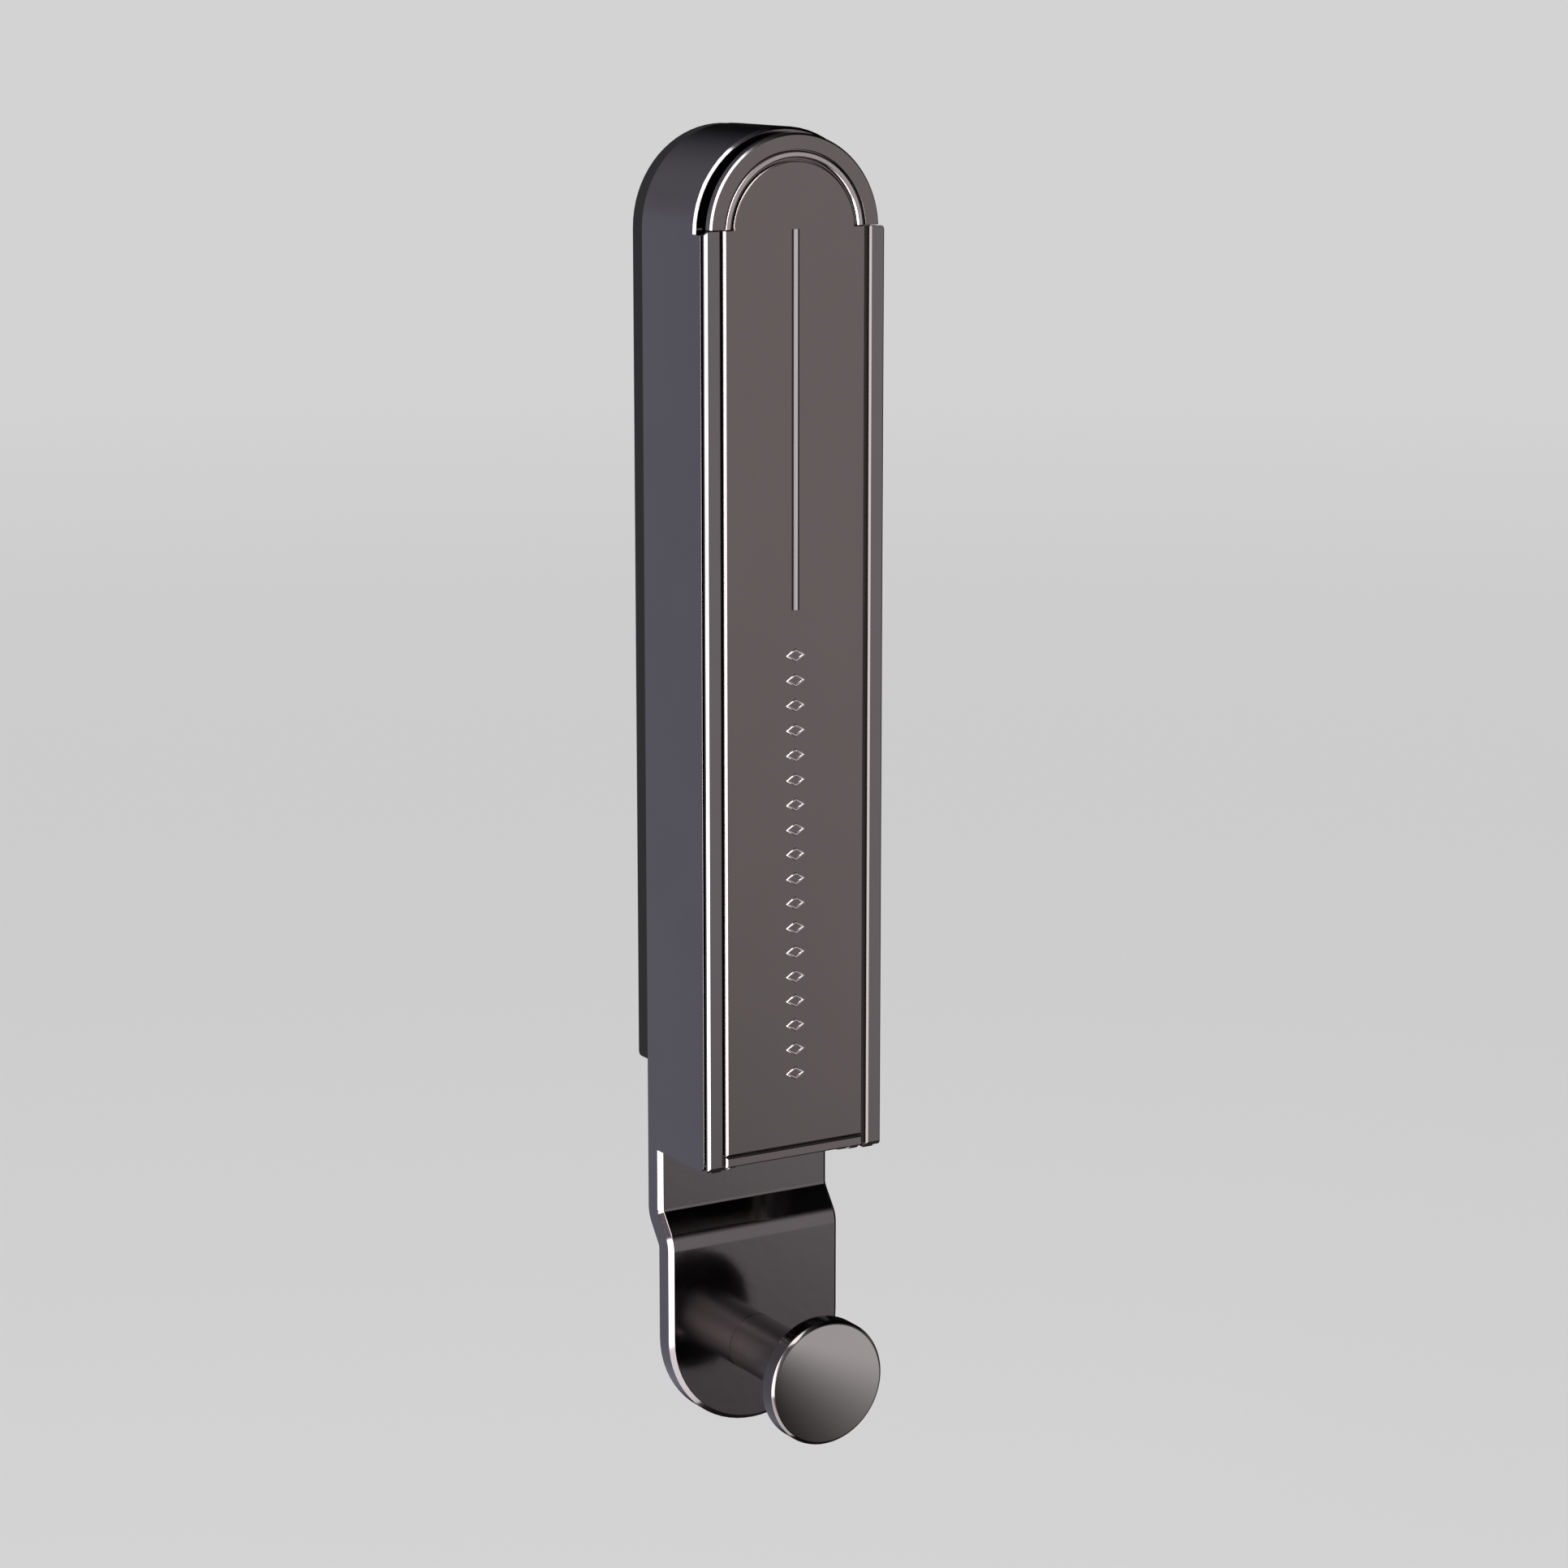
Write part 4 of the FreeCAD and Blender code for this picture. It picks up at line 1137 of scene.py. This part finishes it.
@dataclass
class Studio:
    """A pale floor and room, soft light from the left and above, and the camera.

    The camera sees the floor and the room pale. Metal mirrors them with the tones that shape it:
    pale in front, dusky behind on the left, dark behind on the right and overhead, and with a
    painted shadow pool on the floor in front and at the foot. A span is where such a tone changes.

    Args:
        floor_height: The floor's height in the frame, in metres.
        floor_half: Half its width.
        floor_colour: What the camera sees of it, and what metal mirrors in front.
        glow_span: Between which distances the floor begins to glow fully.
        least_glow: How much of the floor's light is its own glow near the object.
        dusk_colour: What metal mirrors behind on the left.
        night_colour: What metal mirrors behind on the right.
        behind_span: Where front turns into behind, along Y of a heading.
        night_span: Where left turns into right for what is behind, along X of a heading.
        pool_colour: The darker pool, a painted shadow.
        pool_back: Where the pool ends towards the wall, along Y.
        pool_right: Where it ends on the right, along X.
        pool_foot: Where the pool at the foot ends, away from it.
        pool_left: Where both end on the left, for the bright edges of the tail and the knob.
        above_left: What metal mirrors overhead on the left.
        above_right: What metal mirrors overhead on the right.
        above_span: Where level turns into overhead, along Z of a heading.
        side_span: Where left turns into right overhead, along X of a heading.
        front_span: Where the level band begins to reach higher in front, along Y of a heading.
        front_rise: How much higher it reaches there.
        softboxes: The soft lights. The low one brightens the edges of the tail and the knob.
        lens: The camera's focal length, in millimetres.
        sensor: The width of its sensor, in millimetres.
        camera_place: Its place, in metres.
        camera_yaw: How far it looks to the right, in degrees.
        camera_pitch: How far it looks down, in degrees.
    """

    floor_height: float = -0.42
    floor_half: float = 60.0
    floor_colour: str = "D4D3D4"
    glow_span: Span = (1.5, 5.0)
    least_glow: float = 0.72
    dusk_colour: str = "AFB2C0"
    night_colour: str = "161617"
    behind_span: Span = (-0.1, 0.3)
    night_span: Span = (-0.1, 0.35)
    pool_colour: str = "333030"
    pool_back: Span = (-0.25, 0.0)
    pool_right: Span = (0.12, 0.7)
    pool_foot: Span = (0.12, 0.4)
    pool_left: Span = (-0.04, -0.16)
    above_left: str = "9A9AA4"
    above_right: str = "0E0E0F"
    above_span: Span = (0.0, 0.3)
    side_span: Span = (-0.4, 0.45)
    front_span: Span = (-0.4, -0.1)
    front_rise: float = 0.36
    softboxes: tuple[Softbox, ...] = (
        Softbox("left strip", (-0.55, -0.35, 0.095), (0.0, 0.0, 0.095), 0.27, 1.01, 7.4),
        Softbox("low card", (-0.2, -0.11, -0.35), (-0.11, -0.063, 0.0), 0.16, 0.36, 0.54),
        Softbox("crown box", (-0.42, -0.48, 0.82), (0.0, 0.0, 0.0), 0.8, 0.6, 11.0),
    )
    lens: float = 92.55
    sensor: float = 36.0
    camera_place: Place = (-0.3799, -0.6565, 0.1293)
    camera_yaw: float = 30.95
    camera_pitch: float = 11.54

    def build(self) -> None:
        """Builds the studio."""
        self._camera()
        self._floor()
        self._room()
        for softbox in self.softboxes:
            softbox.build()

    def _camera(self) -> None:
        """Places the camera at the photograph's viewing angle."""
        lens = bpy.data.cameras.new("view")
        lens.lens = self.lens
        lens.sensor_width = self.sensor
        camera = bpy.data.objects.new("view", lens)
        camera.location = self.camera_place
        # Unturned it looks straight down, and 90 degrees about X make it look level
        tilt, turn = math.radians(90.0 - self.camera_pitch), math.radians(-self.camera_yaw)
        camera.rotation_euler = (tilt, 0.0, turn)
        bpy.context.scene.collection.objects.link(camera)
        bpy.context.scene.camera = camera

    def _floor(self) -> None:
        """Lays the pale floor, which keeps a soft shadow near the object."""
        half, height = self.floor_half, self.floor_height
        work = bmesh.new()
        corners = ((-half, -half), (half, -half), (half, half), (-half, half))
        work.faces.new([work.verts.new((x, y, height)) for x, y in corners])
        floor = finished(work, "floor")
        paint = bpy.data.materials.new("pale floor")
        tree = emptied(paint)
        place = add_node(tree, "ShaderNodeTexCoord").outputs["Object"]
        rays = add_node(tree, "ShaderNodeLightPath").outputs
        heading = add_node(tree, "ShaderNodeVectorMath", {0: place}, operation="NORMALIZE")
        mirrored = add_node(
            tree,
            "ShaderNodeMix",
            {
                SHARE: self._pool(tree, place),
                FIRST: linear(self.pool_colour),
                SECOND: self._level_tone(tree, heading.outputs["Vector"]),
            },
            data_type="RGBA",
        )
        tone = add_node(
            tree,
            "ShaderNodeMix",
            {
                SHARE: rays["Is Glossy Ray"],
                FIRST: linear(self.floor_colour),
                SECOND: mirrored.outputs[MIXED],
            },
            data_type="RGBA",
        )
        matt = add_node(tree, "ShaderNodeBsdfDiffuse", {"Color": linear(self.floor_colour)})
        glow = add_node(
            tree, "ShaderNodeEmission", {"Color": tone.outputs[MIXED], "Strength": 1.0}
        )
        away = add_node(tree, "ShaderNodeVectorMath", {0: place}, operation="LENGTH")
        far = add_node(
            tree,
            "ShaderNodeMapRange",
            {
                "Value": away.outputs["Value"],
                "From Min": self.glow_span[0],
                "From Max": self.glow_span[1],
                "To Min": self.least_glow,
                "To Max": 1.0,
            },
            interpolation_type="SMOOTHSTEP",
        )
        # Metal mirrors only the glow, the camera sees both, and for other rays the floor is matt
        near = add_node(
            tree,
            "ShaderNodeMath",
            {0: far.outputs["Result"], 1: rays["Is Glossy Ray"]},
            operation="MAXIMUM",
        )
        seen = add_node(
            tree,
            "ShaderNodeMath",
            {0: rays["Is Camera Ray"], 1: rays["Is Glossy Ray"]},
            operation="MAXIMUM",
        )
        share = add_node(
            tree,
            "ShaderNodeMath",
            {0: seen.outputs["Value"], 1: near.outputs["Value"]},
            operation="MULTIPLY",
        )
        surface = add_node(
            tree,
            "ShaderNodeMixShader",
            {0: share.outputs["Value"], 1: matt.outputs["BSDF"], 2: glow.outputs["Emission"]},
        )
        add_node(tree, "ShaderNodeOutputMaterial", {"Surface": surface.outputs["Shader"]})
        floor.data.materials.append(paint)

    def _pool(self, tree: Tree, place: Socket) -> Socket:
        """Adds the painted shadow that metal mirrors on the floor, in front and at the foot.

        Args:
            tree: The floor's tree.
            place: The place on the floor.

        Returns:
            The share of the floor's full tone: 0 in the pool, 1 elsewhere.
        """
        parts = add_node(tree, "ShaderNodeSeparateXYZ", {"Vector": place}).outputs
        foot = (0.0, 0.0, self.floor_height)
        away = add_node(tree, "ShaderNodeVectorMath", {0: place, 1: foot}, operation="DISTANCE")
        pool = 0.0
        for value, span, rule in (
            (parts["Y"], self.pool_back, "MAXIMUM"),
            (parts["X"], self.pool_right, "MAXIMUM"),
            (away.outputs["Value"], self.pool_foot, "MINIMUM"),
            (parts["X"], self.pool_left, "MAXIMUM"),
        ):
            edge = add_node(
                tree,
                "ShaderNodeMapRange",
                {"Value": value, "From Min": span[0], "From Max": span[1]},
                interpolation_type="SMOOTHSTEP",
            )
            joined = add_node(
                tree, "ShaderNodeMath", {0: pool, 1: edge.outputs["Result"]}, operation=rule
            )
            pool = joined.outputs["Value"]
        return pool

    def _level_tone(self, tree: Tree, heading: Socket) -> Socket:
        """Adds the colour that metal mirrors near eye level.

        Args:
            tree: The floor's or the room's tree.
            heading: The way from the object, as a unit vector.

        Returns:
            The colour: pale in front, dusky behind on the left, dark behind on the right.
        """
        parts = add_node(tree, "ShaderNodeSeparateXYZ", {"Vector": heading}).outputs
        behind, right = (
            add_node(
                tree,
                "ShaderNodeMapRange",
                {"Value": parts[axis], "From Min": span[0], "From Max": span[1]},
                interpolation_type="SMOOTHSTEP",
            ).outputs["Result"]
            for axis, span in (("Y", self.behind_span), ("X", self.night_span))
        )
        back = add_node(
            tree,
            "ShaderNodeMix",
            {SHARE: right, FIRST: linear(self.dusk_colour), SECOND: linear(self.night_colour)},
            data_type="RGBA",
        )
        tone = add_node(
            tree,
            "ShaderNodeMix",
            {SHARE: behind, FIRST: linear(self.floor_colour), SECOND: back.outputs[MIXED]},
            data_type="RGBA",
        )
        return tone.outputs[MIXED]

    def _room(self) -> None:
        """Lights the room: pale as the camera sees it, and darker overhead as metal mirrors it."""
        room = bpy.data.worlds.new("room")
        bpy.context.scene.world = room
        tree = emptied(room)
        way = add_node(tree, "ShaderNodeTexCoord").outputs["Generated"]
        parts = add_node(tree, "ShaderNodeSeparateXYZ", {"Vector": way}).outputs
        rise = add_node(
            tree,
            "ShaderNodeMapRange",
            {
                "Value": parts["Y"],
                "From Min": self.front_span[0],
                "From Max": self.front_span[1],
                "To Min": self.front_rise,
                "To Max": 0.0,
            },
        )
        height = add_node(
            tree,
            "ShaderNodeMath",
            {0: parts["Z"], 1: rise.outputs["Result"]},
            operation="SUBTRACT",
        )
        upward, right = (
            add_node(
                tree,
                "ShaderNodeMapRange",
                {"Value": value, "From Min": span[0], "From Max": span[1]},
                interpolation_type="SMOOTHSTEP",
            ).outputs["Result"]
            for value, span in (
                (height.outputs["Value"], self.above_span),
                (parts["X"], self.side_span),
            )
        )
        above = add_node(
            tree,
            "ShaderNodeMix",
            {SHARE: right, FIRST: linear(self.above_left), SECOND: linear(self.above_right)},
            data_type="RGBA",
        )
        mirrored = add_node(
            tree,
            "ShaderNodeMix",
            {
                SHARE: upward,
                FIRST: self._level_tone(tree, way),
                SECOND: above.outputs[MIXED],
            },
            data_type="RGBA",
        )
        rays = add_node(tree, "ShaderNodeLightPath").outputs
        colour = add_node(
            tree,
            "ShaderNodeMix",
            {
                SHARE: rays["Is Glossy Ray"],
                FIRST: linear(self.floor_colour),
                SECOND: mirrored.outputs[MIXED],
            },
            data_type="RGBA",
        )
        air = add_node(
            tree, "ShaderNodeBackground", {"Color": colour.outputs[MIXED], "Strength": 1.0}
        )
        add_node(tree, "ShaderNodeOutputWorld", {"Surface": air.outputs["Background"]})


def main() -> None:
    """Builds the rack's looks and its studio."""
    logging.basicConfig(level=logging.INFO, format="%(name)s: %(message)s")
    bpy.context.scene.view_settings.view_transform = "Standard"
    for assembly in (
        WallBody(),
        CoatKnob(),
        Hinge(),
        Catch(),
        *SCREWS,
        Arm(),
        FaceTrim(),
        Studio(),
    ):
        assembly.build()
        LOG.info("%s is done", type(assembly).__name__)


if __name__ == "__main__":
    main()
